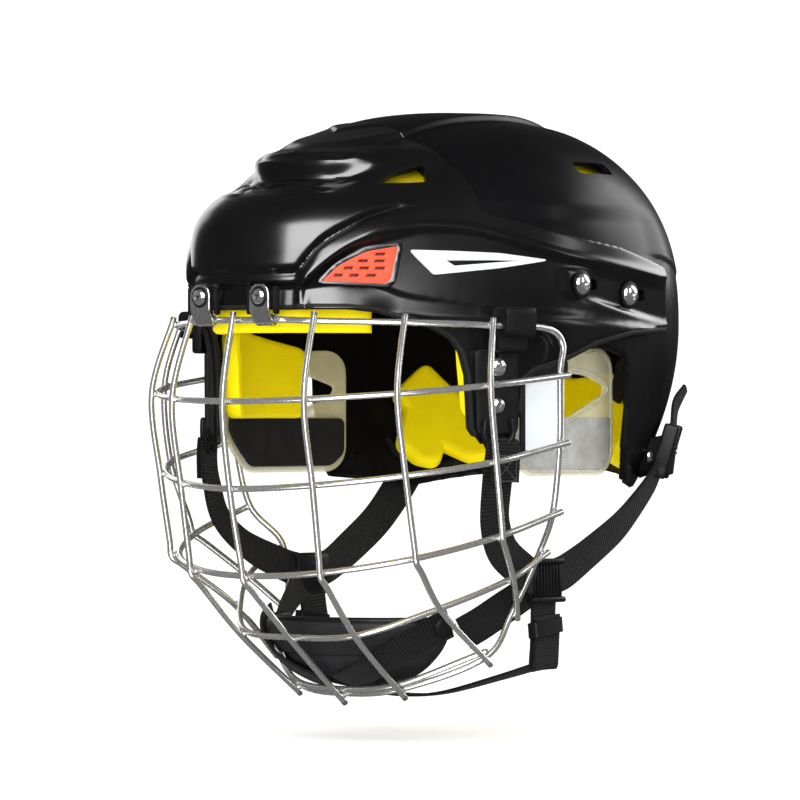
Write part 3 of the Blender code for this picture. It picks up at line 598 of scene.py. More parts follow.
def black_foam():
    s = Surface("padding_black", (0.014, 0.014, 0.015), 0.8)
    s.colour(s.noise(80, 5), (0.010, 0.010, 0.011), (0.022, 0.022, 0.024))
    s.bump([(s.cells(1100), 0.12), (s.noise(150, 4), 0.15)])
    s.set("Specular IOR Level", 0.06)
    return s.material


def cup_vinyl():
    s = Surface("cup_vinyl_black", (0.016, 0.016, 0.018), 0.5)
    s.colour(s.noise(50, 4), (0.012, 0.012, 0.013), (0.026, 0.026, 0.028))
    s.vary_roughness(s.noise(120, 3), 0.4, 0.6)
    s.bump([(s.cells(700), 0.14), (s.noise(90, 3), 0.2)])
    s.set("Specular IOR Level", 0.08)
    return s.material


def wire_nickel():
    s = Surface("cage_nickel", (0.80, 0.79, 0.77), 0.26, 0.86)
    s.colour(s.noise(40, 2), (0.76, 0.755, 0.74), (0.82, 0.815, 0.80))
    s.vary_roughness(s.noise(150, 3), 0.2, 0.3)
    s.bump([(s.noise(200, 2), 0.0015)])
    return s.material


def chrome():
    s = Surface("screw_chrome_plate", (0.86, 0.86, 0.86), 0.14, 0.94)
    s.vary_roughness(s.noise(300, 3), 0.1, 0.2)
    s.colour(s.noise(200, 3), (0.80, 0.80, 0.80), (0.88, 0.88, 0.88))
    s.bump([(s.noise(500, 2), 0.004)])
    return s.material


def stamped_steel():
    s = Surface("clip_stamped_steel", (0.62, 0.62, 0.62), 0.25, 0.94)
    brushed = s.noise(60, 3, 0.6, s.stretched((6.0, 1.0, 1.0)))
    s.vary_roughness(brushed, 0.18, 0.32)
    s.colour(s.noise(100, 4), (0.60, 0.60, 0.60), (0.72, 0.72, 0.71))
    s.bump([(brushed, 0.006)])
    return s.material


def moulded_black():
    s = Surface("hardware_black", (0.007, 0.007, 0.008), 0.38)
    s.colour(s.noise(70, 4), (0.005, 0.005, 0.0055), (0.010, 0.010, 0.011))
    s.vary_roughness(s.noise(110, 4), 0.34, 0.52)
    s.bump([(s.cells(1300), 0.035), (s.noise(500, 3), 0.02)])
    s.set("Specular IOR Level", 0.09)
    return s.material


def rubber():
    s = Surface("edge_rubber", (0.012, 0.012, 0.012), 0.55)
    s.vary_roughness(s.noise(160, 4), 0.45, 0.65)
    s.colour(s.noise(90, 3), (0.009, 0.009, 0.009), (0.020, 0.020, 0.020))
    s.bump([(s.noise(600, 4), 0.04)])
    s.set("Specular IOR Level", 0.05)
    return s.material


def coral():
    s = Surface("insert_coral", (0.72, 0.075, 0.028), 0.42)
    s.colour(s.noise(70, 4), (0.66, 0.06, 0.02), (0.77, 0.095, 0.038))
    s.vary_roughness(s.noise(150, 3), 0.34, 0.5)
    s.bump([(s.cells(1400), 0.03), (s.noise(300, 2), 0.02)])
    s.set("Specular IOR Level", 0.1)
    return s.material


def white_film():
    s = Surface("film_white", (0.82, 0.82, 0.81), 0.34)
    s.colour(s.noise(60, 4), (0.74, 0.77, 0.79), (0.84, 0.87, 0.89))
    s.vary_roughness(s.noise(200, 3), 0.28, 0.44)
    s.bump([(s.noise(500, 3), 0.015)])
    s.set("Specular IOR Level", 0.1)
    return s.material


def frosted():
    s = Surface("guard_clear", (0.80, 0.76, 0.52), 0.2)
    cloud = s.noise(55, 4)
    s.link(s.spread(cloud, 0.3, 0.7, 0.44, 0.58), s.shader.inputs["Alpha"])
    s.colour(s.noise(30, 3), (0.66, 0.62, 0.40), (0.80, 0.76, 0.54))
    s.vary_roughness(cloud, 0.12, 0.3)
    s.bump([(s.noise(220, 3), 0.03)])
    return s.material


def coral_painted_shade():
    # A darker copy of the coral: painted shade, the insert's coral as it looks deep inside its slots.
    s = Surface("insert_coral_painted_shade", (0.30, 0.03, 0.015), 0.6)
    s.colour(s.noise(80, 4), (0.24, 0.022, 0.012), (0.36, 0.045, 0.022))
    s.vary_roughness(s.noise(150, 3), 0.5, 0.7)
    s.bump([(s.cells(1400), 0.03)])
    return s.material


def frost_band():
    s = Surface("guard_frosted", (0.42, 0.42, 0.40), 0.32)
    cloud = s.noise(70, 5, 0.6)
    s.link(s.spread(cloud, 0.35, 0.65, 0.55, 0.95), s.shader.inputs["Alpha"])
    s.colour(s.noise(90, 5), (0.30, 0.30, 0.29), (0.58, 0.58, 0.56))
    s.vary_roughness(cloud, 0.2, 0.45)
    s.bump([(s.noise(300, 4), 0.06)])
    return s.material


def clear_edge():
    s = Surface("guard_clear_edge", (0.70, 0.68, 0.56), 0.14)
    s.link(s.spread(s.noise(90, 3), 0.3, 0.7, 0.35, 0.5), s.shader.inputs["Alpha"])
    s.colour(s.noise(60, 3), (0.52, 0.50, 0.38), (0.70, 0.68, 0.56))
    s.bump([(s.noise(300, 3), 0.02)])
    return s.material


def thread():
    s = Surface("sewing_thread", (0.03, 0.03, 0.032), 0.6)
    s.colour(s.noise(400, 3), (0.022, 0.022, 0.024), (0.05, 0.05, 0.052))
    s.vary_roughness(s.noise(500, 3), 0.5, 0.7)
    s.bump([(s.noise(2500, 2), 0.05)])
    return s.material


def webbing():
    """Woven tape: ribs across, two fine cords per rib; the UV map is in metres along and across."""
    s = Surface("strap_webbing", (0.014, 0.014, 0.015), 0.75)
    flat = s.node("ShaderNodeUVMap", uv_map="tape").outputs["UV"]
    ribs = s.node("ShaderNodeTexWave", Scale=1 / (0.0016 * 2 * pi) * 2, Distortion=0.0)
    ribs.bands_direction = "X"
    s.link(flat, ribs.inputs["Vector"])
    cords = s.node("ShaderNodeTexWave", Scale=1 / (0.0011 * 2 * pi) * 2, Distortion=0.4)
    cords.bands_direction = "Y"
    s.link(flat, cords.inputs["Vector"])
    # the ribs' colour is painted shade: darker in the grooves and lighter on the crests, following the
    # bump
    s.colour(ribs.outputs["Fac"], (0.003, 0.003, 0.0035), (0.013, 0.013, 0.014))
    s.vary_roughness(s.noise(240, 4), 0.62, 0.85)
    s.bump([(ribs.outputs["Fac"], 0.28), (cords.outputs["Fac"], 0.12), (s.noise(1500, 2), 0.05)])
    s.set("Sheen Weight", 0.06)
    s.set("Sheen Roughness", 0.5)
    s.set("Specular IOR Level", 0.05)
    return s.material


def pale_floor():
    s = Surface("studio_floor", (0.9, 0.9, 0.9), 0.9)
    s.colour(s.noise(0.6, 2), (0.89, 0.89, 0.89), (0.91, 0.91, 0.91))
    s.set("Emission Color", (1, 1, 1, 1))
    s.set("Emission Strength", 0.3)
    return s.material


GLOSS = gloss_shell()
SATIN = satin_shell()
FOAM = yellow_foam()
BLACK_FOAM = black_foam()
VINYL = cup_vinyl()
NICKEL = wire_nickel()
CHROME = chrome()
STEEL = stamped_steel()
MOULDED = moulded_black()
RUBBER = rubber()
CORAL = coral()
WHITE = white_film()
CLEAR = frosted()
TAPE = webbing()

# ---------------------------------------------------------------- the front shell's surface

WALL = 2.8
SEAM_Y = -47.0
# Lower edge as (plan y, z): brow, temple, tongue in front of the ear, ear arch.
FRONT_LOWER_EDGE = (
    (-141, 5), (-112, 5), (-100, 3.5), (-90, 0), (-78, -4), (-70, -9), (-65, -16), (-62, -28),
    (-61, -52), (-57, -58), (-44, -58), (-40, -52), (-37.5, -27), (-32, -22.5), (-15, -17),
    (3, -9.5), (29, -4.5), (64, -2.5),
)
WING_UPPER_EDGE = ((-58, 54), (-47, 50), (-30, 45.5), (-5, 40), (25, 36), (64, 27))
# How far the brow stands outside the dome, by height, all round the front.
FRONT_SWELL = (
    (0, -0.6), (20, -1.0), (28, 0.2), (36, 2.0), (44, 3.0), (50, 2.4), (56, 0.6), (61, -0.6),
    (70, -1.4), (79, -1.2), (83, -1.6), (88, -2.8), (95, -2.6),
)
# The scoop over the forehead: a deep recess, then the hood's lip above it.
SCOOP_SWELL = (
    (58, 0), (63, -1.0), (67, -3.2), (70, -5.2), (72, -4.8), (74, -1.4), (75.5, 1.8), (77, 2.8),
    (81, 1.4), (87, 0),
)
SHOULDER_LINE = ((0, 78), (0.44, 82.1), (0.9, 86.3), (1.47, 89.2), (1.92, 90.0), (2.4, 90.5))
# Feature lines on the shell as (q, z).
PANEL_LINE = ((0, 22), (1.03, 22), (1.17, 24.9), (1.43, 35.2), (1.83, 43.4), (2.05, 47.5), (2.4, 52))
SIDE_LINE = (
    (1.15, 14), (1.2, 15.1), (1.37, 19.7), (1.75, 30.2), (2.0, 34.8), (2.47, 39.7), (2.81, 41.8),
    (3.4, 40.2), (4.39, 29.9), (4.9, 26.5), (5.7, 20.5),
)
LEDGE_LINE = (
    (0, 17), (1.27, 17), (2.34, 15.7), (2.51, 13), (3.05, 9.4), (4.36, 5.1), (5.4, -0.9),
    (5.7, -2.5),
)
LEDGE_DEPTH = ((0, 4.2), (1.25, 4.2), (1.5, 3.0), (2.4, 2.6), (3.2, 1.7), (5.7, 1.2))
ARCH_LINE = ((2.4, 5.0), (2.51, 3.6), (3.27, 1.1), (4.36, 1.4), (5.54, -1.8), (5.8, -2.5))
SLOT_TOP = ((4.3, 23.1), (4.45, 25.5), (4.91, 24.5), (5.7, 18.6), (6, 16))
SLOT_BOTTOM = ((4.3, 15.5), (4.49, 11.4), (4.89, 9.3), (5.61, 1.2), (6, -2))
LOUVERS = ((75.6, 0.0, 1.5), (71.6, 0.1, 1.5), (66.2, 0.4, 1.1), (60.2, 0.6, 1.45))


def line_at(line, q):
    """Straight interpolation along a line of stations."""
    return np.interp(q, [p[0] for p in line], [p[1] for p in line])


def softened(field, passes):
    """A field over the lattice with its steps rounded off, as moulding rounds them."""
    for _ in range(passes):
        wide = np.pad(field, 1, mode="edge")
        field = (wide[:-2, 1:-1] + wide[2:, 1:-1] + wide[1:-1, :-2] + wide[1:-1, 2:]) / 8 + field / 2
    return field


def smooth_curve(line):
    """A feature line as closely spaced stations on a smooth curve."""
    points = spline([(q * Q_SCALE, z) for q, z in line], 12)
    return [(p[0] / Q_SCALE, p[1]) for p in points]


PANEL_CURVE = smooth_curve(PANEL_LINE)
SIDE_CURVE = smooth_curve(SIDE_LINE)


def front_out(q, z):
    """Millimetres that the front shell's face stands outside the dome."""
    q = np.abs(q)
    p = dome(q, z_to_s(z))
    toward_front = ramp(-plan(q)[..., 1], 50, 112)
    out = table(z, FRONT_SWELL) * toward_front
    out = out + 0.4 * (1 - toward_front)
    out += table(z, SCOOP_SWELL) * ramp(2.15 - q, 0, 0.9)
    # the hood's shoulder runs back from its tip to the crown
    shoulder = np.exp(-(((z - line_at(SHOULDER_LINE, q)) / 1.5) ** 2))
    out += 0.5 * shoulder * ramp(q, 0.5, 1.1) * ramp(2.1 - q, 0, 0.5)
    # the brow panel stands proud above its crease and fades out at its end
    over_panel = z - line_at(PANEL_CURVE, q)
    fade = ramp(2.75 - q, 0, 0.7)
    out += 1.5 * ramp(over_panel, -0.3, 2.6) * fade * ramp(64 - z, 0, 9)
    # a narrow groove runs along its foot
    out -= 1.6 * np.exp(-((over_panel / 1.5) ** 2)) * fade
    # the recessed band that holds the insert, the accent and the slot
    under_side = line_at(SIDE_CURVE, q) - z
    below_side = ramp(under_side, -0.8, 0.8) * ramp(q, 1.15, 1.3)
    above_ledge = ramp(z - table(q, LEDGE_LINE), -0.5, 0.5)
    side_edge = np.exp(-(((under_side + 2.0) / 1.9) ** 2)) * ramp(q, 2.2, 2.7)
    out += 0.9 * side_edge
    # the strip between crease and side line slopes out downwards
    strip = np.clip(-over_panel - 0.4, 0, 9) * ramp(q, 1.1, 1.25) * ramp(2.7 - q, 0, 0.7)
    out += 0.36 * strip * (1 - below_side)
    out -= 1.5 * below_side * above_ledge * ramp(5.9 - q, 0, 0.5)
    # below the ledge the wall steps in; at the sides it comes out again as the ear arch
    under = ramp(table(q, LEDGE_LINE) - z, -0.6, 0.9)
    arch = ramp(table(q, ARCH_LINE) - z, -0.5, 1.4) * ramp(q, 2.35, 2.7)
    out -= table(q, LEDGE_DEPTH) * under * (1 - arch)
    # a flange beside the clips slopes back out towards the brow's edge and faces up
    flange = ramp(q, 1.16, 1.42) * ramp(2.5 - q, 0, 0.45)
    out += 0.26 * flange * np.clip(13.5 - z, 0, 10)
    # the soft ended slot round the size screws, flat like the wing behind it
    inside = ramp(line_at(SLOT_TOP, q) - z, -0.4, 1.6) * ramp(z - line_at(SLOT_BOTTOM, q), -0.4, 1.6)
    inside = inside * ramp(q, 4.33, 4.5)
    flat = np.minimum(SLOT_FLAT_X - p[..., 0], 0.0)
    out = out * (1 - inside) + flat * inside
    # a lip over the upper vent, and a soft crease that leads from it down to the wing
    vent_top = line_at(((1.9, 63.5), (2.24, 72.2), (2.66, 77.0), (2.85, 74.0)), q)
    out += 0.7 * np.exp(-(((z - vent_top) / 1.4) ** 2)) * ramp(q, 1.95, 2.25) * ramp(2.9 - q, 0, 0.2)
    # louvers over the forehead: a lip that faces up, then a deep undercut
    for lip_z, low_q, high_q in LOUVERS:
        reach = ramp(high_q - q, 0, 0.45) * ramp(q, low_q - 0.3, low_q)
        step = z - lip_z
        out -= 1.9 * reach * ramp(step, -0.4, 1.2) * ramp(3.8 - step, 0, 2.4)
        out += 1.1 * reach * np.exp(-(((step + 0.9) / 1.0) ** 2))
    # the hood climbs to the crown and ends in a low step, whose line arches round the middle
    hood = ramp(z, 76, 79) * ramp(2.9 - q, 0, 0.6)
    out += 1.6 * hood * ramp(p[..., 1] + 98 - np.abs(p[..., 0]) * 0.62, 0, 16)
    out += 1.0 * hood * ramp(p[..., 1] + 63 - np.abs(p[..., 0]) * 0.9, -1.6, 1.6)
    # the crown's raised middle, a flat ribbon that narrows to the front
    half_width = table(p[..., 1], ((-110, 12), (-75, 26), (-40, 30)))
    ridge = ramp(half_width - np.abs(p[..., 0]), -1.6, 2.4) * ramp(z, 82, 88)
    out += 2.4 * ridge - 1.6 * ramp(z, 80, 88)
    # a shallow valley along the temple between crown and wing
    valley = np.exp(-(((np.abs(p[..., 0]) - 57) / 9) ** 2)) * ramp(z, 52, 66) * ramp(92 - z, 0, 12)
    out -= 1.6 * valley
    return out


def front_lower(q):
    return z_to_s(line_at(FRONT_LOWER_EDGE, plan(np.abs(q))[..., 1]))


def front_upper(q):
    y = plan(np.abs(q))[..., 1]
    share = np.minimum((CROWN_Y - SEAM_Y) / np.maximum(CROWN_Y - y, 1.0), 1.0)
    top = z_to_s((1 - share**SQUARENESS) ** (1 / SQUARENESS) * CROWN_HEIGHT)
    wing = z_to_s(line_at(WING_UPPER_EDGE, y))
    return np.where(y < WING_UPPER_EDGE[0][0], np.maximum(top, z_to_s(47.0)), wing)


RIM_ROUND = 1.2


def even_s(low, high, step):
    """s stations spaced evenly along the dome's front profile, in millimetres."""
    s = np.linspace(low, high, 3001)
    p = dome(np.full(s.shape, 1.0), s)
    run = np.concatenate([[0], np.cumsum(np.linalg.norm(np.diff(p, axis=0), axis=1))])
    count = int(round(run[-1] / step)) + 1
    return np.interp(np.linspace(0, run[-1], count), run, s)


def even_q(low, high, step):
    """q stations spaced evenly along the outline, in millimetres."""
    q = np.linspace(low, high, 4001)
    p = plan(q)
    run = np.concatenate([[0], np.cumsum(np.linalg.norm(np.diff(p, axis=0), axis=1))])
    count = int(round(run[-1] / step)) + 1
    return np.interp(np.linspace(0, run[-1], count), run, q)


def cutter_on(name, loops, side, reach=14):
    """A plug that follows the dome, to cut an opening drawn as (q, z) outlines."""
    mesh = dome_plate(name, loops, reach * 0.4, reach, side, 0.0)
    return add_piece(name, mesh, None, None)


INSERT_RIM = ((1.52, 17.8), (1.76, 25.4), (2.08, 31.1), (2.45, 34.3), (2.38, 18.6), (2.31, 17.0))
UPPER_VENT_RIM = ((2.02, 65.2), (2.24, 70.6), (2.62, 75.0), (2.72, 67.0))
SIZE_SCREWS = ((-5, 17.5), (32, 13))
SIZE_TRAVEL = 10


def loop_q(loop, radius):
    """Rounded outline on the dome, from (q, z) corners, with the radius in millimetres."""
    flat = rounded([(q * Q_SCALE, z) for q, z in loop], radius)
    return [(p[0] / Q_SCALE, p[1]) for p in flat]


def grown(loop, by):
    """A (q, z) outline with its corners moved out from the middle by so many millimetres."""
    flat = [Vector((q * Q_SCALE, z)) for q, z in loop]
    middle = sum(flat, Vector((0, 0))) / len(flat)
    moved = [p + (p - middle).normalized() * by for p in flat]
    return [(p[0] / Q_SCALE, p[1]) for p in moved]


def front_shell():
    q = even_q(-float(plan_q(62)), float(plan_q(62)), 0.85)
    low, high = front_lower(q), front_upper(q)
    levels = even_s(low.min(), high.max(), 0.85)[:, None]
    s = np.clip(levels, low, high)
    qq = np.broadcast_to(q, s.shape)
    out = softened(front_out(qq, s_to_z(s)), 4)
    below, above = dome(q, low), dome(q, high)
    here = dome(qq, s)
    from_edge = np.minimum(
        np.linalg.norm(here - below, axis=-1), np.linalg.norm(here - above, axis=-1)
    )
    f = np.clip(1 - from_edge / RIM_ROUND, 0, 1)
    roll = RIM_ROUND * (1 - np.sqrt(np.maximum(1 - f * f, 0)))
    outer = skin(qq, s, out - roll)
    inner = skin(qq, s, out - WALL + roll * 0.4)
    made = add_piece("helmet_front_shell", shell_mesh("front", outer, inner), GLOSS, None)
    face_out(made.data)
    cutters = []
    for label, side in SIDES:
        cutters.append(cutter_on("cut_brow_" + label, [loop_q(INSERT_RIM, 2.0)], side))
        cutters.append(cutter_on("cut_upper_" + label, [loop_q(UPPER_VENT_RIM, 1.5)], side))
        for number, (y, z) in enumerate(SIZE_SCREWS):
            corners = [(-2.6, -2.6), (SIZE_TRAVEL + 2.6, -2.6), (SIZE_TRAVEL + 2.6, 2.6), (-2.6, 2.6)]
            if side < 0:
                corners = [(-x, y2) for x, y2 in reversed(corners)]
            mesh = outline_mesh("cut_slot", [rounded(corners, 2.4)], 16)
            mesh.transform(frame_matrix((side * SLOT_FLAT_X, y, z), (side, 0, 0)))
            cutters.append(add_piece(f"cut_slot_{number}_{label}", mesh, None, None))
    cut(made, cutters)
    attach(made, "helmet")
    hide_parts("front_shell")
    return made


# ---------------------------------------------------------------- the rear shell

REAR_LIP_Y = -60.0
REAR_LOWER_EDGE = (
    (-80, 48), (-40, 32), (-20, 8), (-12, -9), (20, -13.5), (30, -16), (34.5, -22), (36, -34),
    (38, -62), (45, -77), (76, -81), (100, -83), (145, -74),
)
REAR_INSET_BY_HEIGHT = (
    (-85, 3.9), (0, 4.0), (40, 4.2), (60, 4.3), (80, 4.1), (92, 3.3), (98, 2.8), (103, 3.2),
)
REAR_VENTS = ((40, 78), (104, 66), (122, 30))


def rear_out(q, z):
    q = np.abs(q)
    p = dome(q, z_to_s(z))
    x, y = np.abs(p[..., 0]), p[..., 1]
    out = -table(z, REAR_INSET_BY_HEIGHT)
    under_wing = ramp(60 - z, 0, 10) * ramp(80 - y, 0, 22) * ramp(y, -75, -50)
    out -= 1.7 * under_wing
    # the crown ribbon runs on from the front shell and ends over the back
    half_width = table(y, ((-60, 29), (20, 24), (90, 17), (118, 12)))
    ribbon = ramp(half_width - x, -1.6, 2.2) * ramp(z, 48, 66)
    rise = table(z, ((48, 0.6), (80, 1.6), (97, 2.6), (103, 3.8)))
    out += rise * ribbon * ramp(y, -56, -46)
    # side ribs of the back, and the raised rim along the neck and behind the ear
    back = ramp(y, 70, 100)
    out += 1.5 * back * np.exp(-(((x - 40) / 7.5) ** 2)) * ramp(70 - z, 0, 14) * ramp(z, -58, -40)
    out += 1.4 * back * ramp(14 - x, -1.2, 1.2) * ramp(40 - z, 0, 4) * ramp(z, -52, -48)
    edge = line_at(REAR_LOWER_EDGE, plan(q)[..., 1])
    out += 1.1 * ramp(7 - (z - edge), -0.7, 0.9) * ramp(plan(q)[..., 1], 44, 50)
    crease = line_at(((4.0, 44), (5.0, 40), (6.0, 33), (7.0, 20), (8.0, 14)), q)
    out -= 0.8 * ramp(crease - z, -0.8, 0.8) * ramp(q, 5.6, 6.0)
    return out


def rear_lower(q):
    y = plan(np.abs(q))[..., 1]
    share = np.minimum((CROWN_Y - REAR_LIP_Y) / np.maximum(CROWN_Y - y, 1.0), 1.0)
    lip = z_to_s((1 - share**SQUARENESS) ** (1 / SQUARENESS) * CROWN_HEIGHT)
    return np.where(y < REAR_LOWER_EDGE[0][0], lip, z_to_s(line_at(REAR_LOWER_EDGE, y)))


def rear_shell():
    q = even_q(-8.0, 8.0, 1.5)[:-1]
    low = rear_lower(q)
    levels = even_s(low.min(), 0.992, 1.4)[:, None]
    s = np.clip(levels, low, 0.992)
    qq = np.broadcast_to(q, s.shape)
    out = rear_out(qq, s_to_z(s))
    from_edge = np.linalg.norm(dome(qq, s) - dome(q, low), axis=-1)
    f = np.clip(1 - from_edge / RIM_ROUND, 0, 1)
    roll = RIM_ROUND * (1 - np.sqrt(np.maximum(1 - f * f, 0)))
    outer = skin(qq, s, out - roll)
    inner = skin(qq, s, out - 2.6 + roll * 0.4)
    points, faces = capped(outer, inner)
    made = add_piece("helmet_rear_shell", mesh_from("rear", points, faces), SATIN, None)
    face_out(made.data)
    cutters = []
    for label, side in SIDES:
        for number, (plan_y, z) in enumerate(REAR_VENTS):
            at_q = float(plan_q(plan_y))
            turned = number == 0
            size = (15, 4) if turned else (4, 15)
            corners = [(-size[0], -size[1]), (size[0], -size[1]), size, (-size[0], size[1])]
            mesh = outline_mesh("cut_rear", [rounded(corners, 3.5)], 26)
            place = skin_point(side * at_q, z, -6)
            outward = skin_point(side * at_q, z, 1) - skin_point(side * at_q, z, 0)
            mesh.transform(frame_matrix(place, outward))
            cutters.append(add_piece(f"cut_rear_{number}_{label}", mesh, None, None))
    cut(made, cutters)
    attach(made, "rear_half")
    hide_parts("rear_shell")
    return made


def capped(outer, inner):
    """A bowl between two grids closed around, with a cap over the last rows."""
    rows, columns = outer.shape[:2]
    count = rows * columns
    faces = grid_faces(rows, columns, 0, True) + grid_faces(rows, columns, count, True, flip=True)
    for i in range(columns):
        j = (i + 1) % columns
        faces.append([j, i, i + count, j + count])
    top_out, top_in = outer[-1].mean(0), inner[-1].mean(0)
    points = np.concatenate([outer.reshape(-1, 3), inner.reshape(-1, 3), [top_out], [top_in]])
    last = (rows - 1) * columns
    for i in range(columns):
        j = (i + 1) % columns
        faces.append([last + i, last + j, 2 * count])
        faces.append([count + last + j, count + last + i, 2 * count + 1])
    return points, faces


front_shell()
rear_shell()

# ---------------------------------------------------------------- cage

WIRE_RADIUS = 1.5
WIRE_SIDES = 14
LAYER = 3.15
CAGE_ROWS = (
    (0, -4, ((0, -134), (37, -121), (71, -97), (96, -64), (108, -24))),
    (-38, -26, ((0, -141), (40, -131), (75, -107), (100, -71), (110, -26))),
    (-79, -58, ((0, -136), (40, -125), (75, -101), (100, -67), (106, -21))),
    (-120, -91, ((0, -126), (39, -118), (74, -93), (94, -56), (99, -17))),
    (-150, -111, ((0, -92), (35, -88), (63, -61), (82, -32), (84, -8))),
)
CHIN_POINTS = ((0, -57, -178), (32, -52, -175), (65, -30, -160), (71, -17, -139))
BEND_ROW = 3
BEND_RUN = 9
HINGE_STRAIGHT = 23.5
WIRE_OVERHANG = 2.6
CHIN_WIRE_STEP = 3.6


def row_point(row, k):
    """Crossing of cage row and wire k, k from -4 to 4, negative on the wearer's right."""
    front_z, rear_z, points = CAGE_ROWS[row]
    x, y = points[abs(k)]
    z = front_z + (rear_z - front_z) * (y - points[0][1]) / (points[4][1] - points[0][1])
    return Vector((x if k >= 0 else -x, y, z))


def row_curve(row, per_span=10):
    return spline([row_point(row, k) for k in range(-4, 5)], per_span)


def cage_point(row, t):
    curve = row_curve(row, 100)
    return Vector(curve[int(round((t + 4) * 100))])


def crossing(level, k):
    """Levels 0 to 4 are the rows and level 5 is the chin edge of the frame."""
    if level < 5:
        return row_point(level, k)
    x, y, z = CHIN_POINTS[min(abs(k), 3)]
    return Vector((x if k >= 0 else -x, y, z))


def outward_normal(level, k):
    if level < 5:
        along = cage_point(level, min(k + 0.1, 4)) - cage_point(level, max(k - 0.1, -4))
    else:
        along = crossing(5, min(k + 1, 3)) - crossing(5, max(k - 1, -3))
    down = crossing(min(level + 1, 5), k) - crossing(max(level - 1, 0), k)
    normal = along.cross(down).normalized()
    away = crossing(level, k) - Vector((0, -40, -80))
    return normal if normal.dot(away) > 0 else -normal


def upright_line(k):
    """A wire from the top bar to the chin edge, outside every row, bent at the third row."""
    hang = [crossing(level, k) + outward_normal(level, k) * LAYER for level in range(6)]
    hang[BEND_ROW] += outward_normal(BEND_ROW, k) * 0.9
    above = (hang[BEND_ROW - 1] - hang[BEND_ROW]).normalized()
    below = (hang[BEND_ROW + 1] - hang[BEND_ROW]).normalized()
    route = [
        hang[0] + (hang[0] - hang[1]).normalized() * (WIRE_OVERHANG - 1),
        hang[0],
        hang[1],
        hang[2],
        hang[BEND_ROW] + above * BEND_RUN,
        hang[BEND_ROW],
        hang[BEND_ROW] + below * BEND_RUN,
        hang[4],
        hang[5],
        hang[5] + (hang[5] - hang[4]).normalized() * (WIRE_OVERHANG - 1),
    ]
    return spline(route, 9)


def with_ends(points):
    first = points[0] + unit(points[0] - points[1]) * WIRE_OVERHANG
    last = points[-1] + unit(points[-1] - points[-2]) * WIRE_OVERHANG
    return np.concatenate([[first], points, [last]])


def frame_line():
    top = [row_point(0, k) for k in range(5)]
    half = [
        top[0],
        Vector((HINGE_STRAIGHT, top[0].y, top[0].z)),
        Vector((HINGE_STRAIGHT + 5, top[0].y + 0.8, top[0].z)),
        top[1],
        top[2],
        top[3],
        top[3].lerp(top[4], 0.75),
        top[4] + Vector((-1.5, 1, -7)),
    ]
    for row in (1, 2, 3, 4):
        half.append(row_point(row, 4) - outward_normal(row, 4) * LAYER)
    half += [Vector(p) for p in reversed(CHIN_POINTS)]
    right = [Vector((-p.x, p.y, p.z)) for p in reversed(half[1:-1])]
    loop = half + right
    closed = [loop[-1], *loop, loop[0], loop[1]]
    points = spline(closed, 9)
    return points[9 : 9 + 9 * len(loop)]


def chin_line():
    stations = []
    for k in range(3):
        toward = (crossing(4, k) - crossing(5, k)).normalized()
        stations.append(tuple(crossing(5, k) + toward * CHIN_WIRE_STEP))
    return spline(mirror_half(stations), 10)


def cage_piece(name, mesh, *nodes):
    made = add_piece(name, mesh, NICKEL, "cage")
    if nodes:
        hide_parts(*nodes)
    return made


def weld(at, away, grow=1.0):
    """The small fillet of melted metal between two crossing wires."""
    bm = bmesh.new()
    turn = frame_matrix(at, away) @ Matrix.Diagonal((1.75 * grow, 1.75 * grow, 1.5, 1))
    bmesh.ops.create_icosphere(bm, subdivisions=2, radius=MM, matrix=turn)
    data = bpy.data.meshes.new("weld")
    bm.to_mesh(data)
    bm.free()
    return data


def cage():
    mesh = tube_mesh("frame", frame_line(), WIRE_RADIUS, WIRE_SIDES, closed=True)
    cage_piece("wire_frame", mesh, "cage_frame")
    for row in (1, 2, 3, 4):
        mesh = tube_mesh("row", with_ends(row_curve(row)), WIRE_RADIUS, WIRE_SIDES)
        cage_piece(f"wire_row_{row}", mesh, f"cage_row_{row}")
    mesh = tube_mesh("row", with_ends(chin_line()), WIRE_RADIUS, WIRE_SIDES)
    cage_piece("wire_row_5", mesh, "cage_row_5")
    mesh = tube_mesh("upright", upright_line(0), WIRE_RADIUS, WIRE_SIDES)
    cage_piece("wire_upright_centre", mesh, "cage_upright_centre")
    for label, side in SIDES:
        for k in (1, 2, 3):
            mesh = tube_mesh("upright", upright_line(side * k), WIRE_RADIUS, WIRE_SIDES)
            cage_piece(f"wire_upright_{k}_{label}", mesh, f"cage_upright_{k}_{label}")
    welds = []
    for level in range(6):
        for k in range(-3, 4):
            normal = outward_normal(level, k)
            welds.append(weld(crossing(level, k) + normal * LAYER * 0.5, normal))
    for row in (1, 2, 3, 4):
        for k in (-4, 4):
            normal = outward_normal(row, k)
            welds.append(weld(row_point(row, k) - normal * LAYER * 0.5, normal))
    cage_piece("wire_welds", joined("welds", welds))


cage()

# ---------------------------------------------------------------- trim on the shell


def insert_slots():
    """Four rows of dashes that lean with the insert, as small outlines in (q, z)."""
    rows = (
        (20.6, (1.75, 1.96, 2.17)), (24.0, (1.88, 2.08, 2.27)), (27.4, (2.06, 2.26)),
        (30.6, (2.26,)),
    )
    loops = []
    for z, middles in rows:
        for q in middles:
            half_q, half_z, lean = 0.066, 1.05, 0.014
            corners = [
                (q - half_q - lean, z - half_z),
                (q + half_q - lean, z - half_z),
                (q + half_q + lean, z + half_z),
                (q - half_q + lean, z + half_z),
            ]
            loops.append(loop_q(corners, 0.5))
    return loops


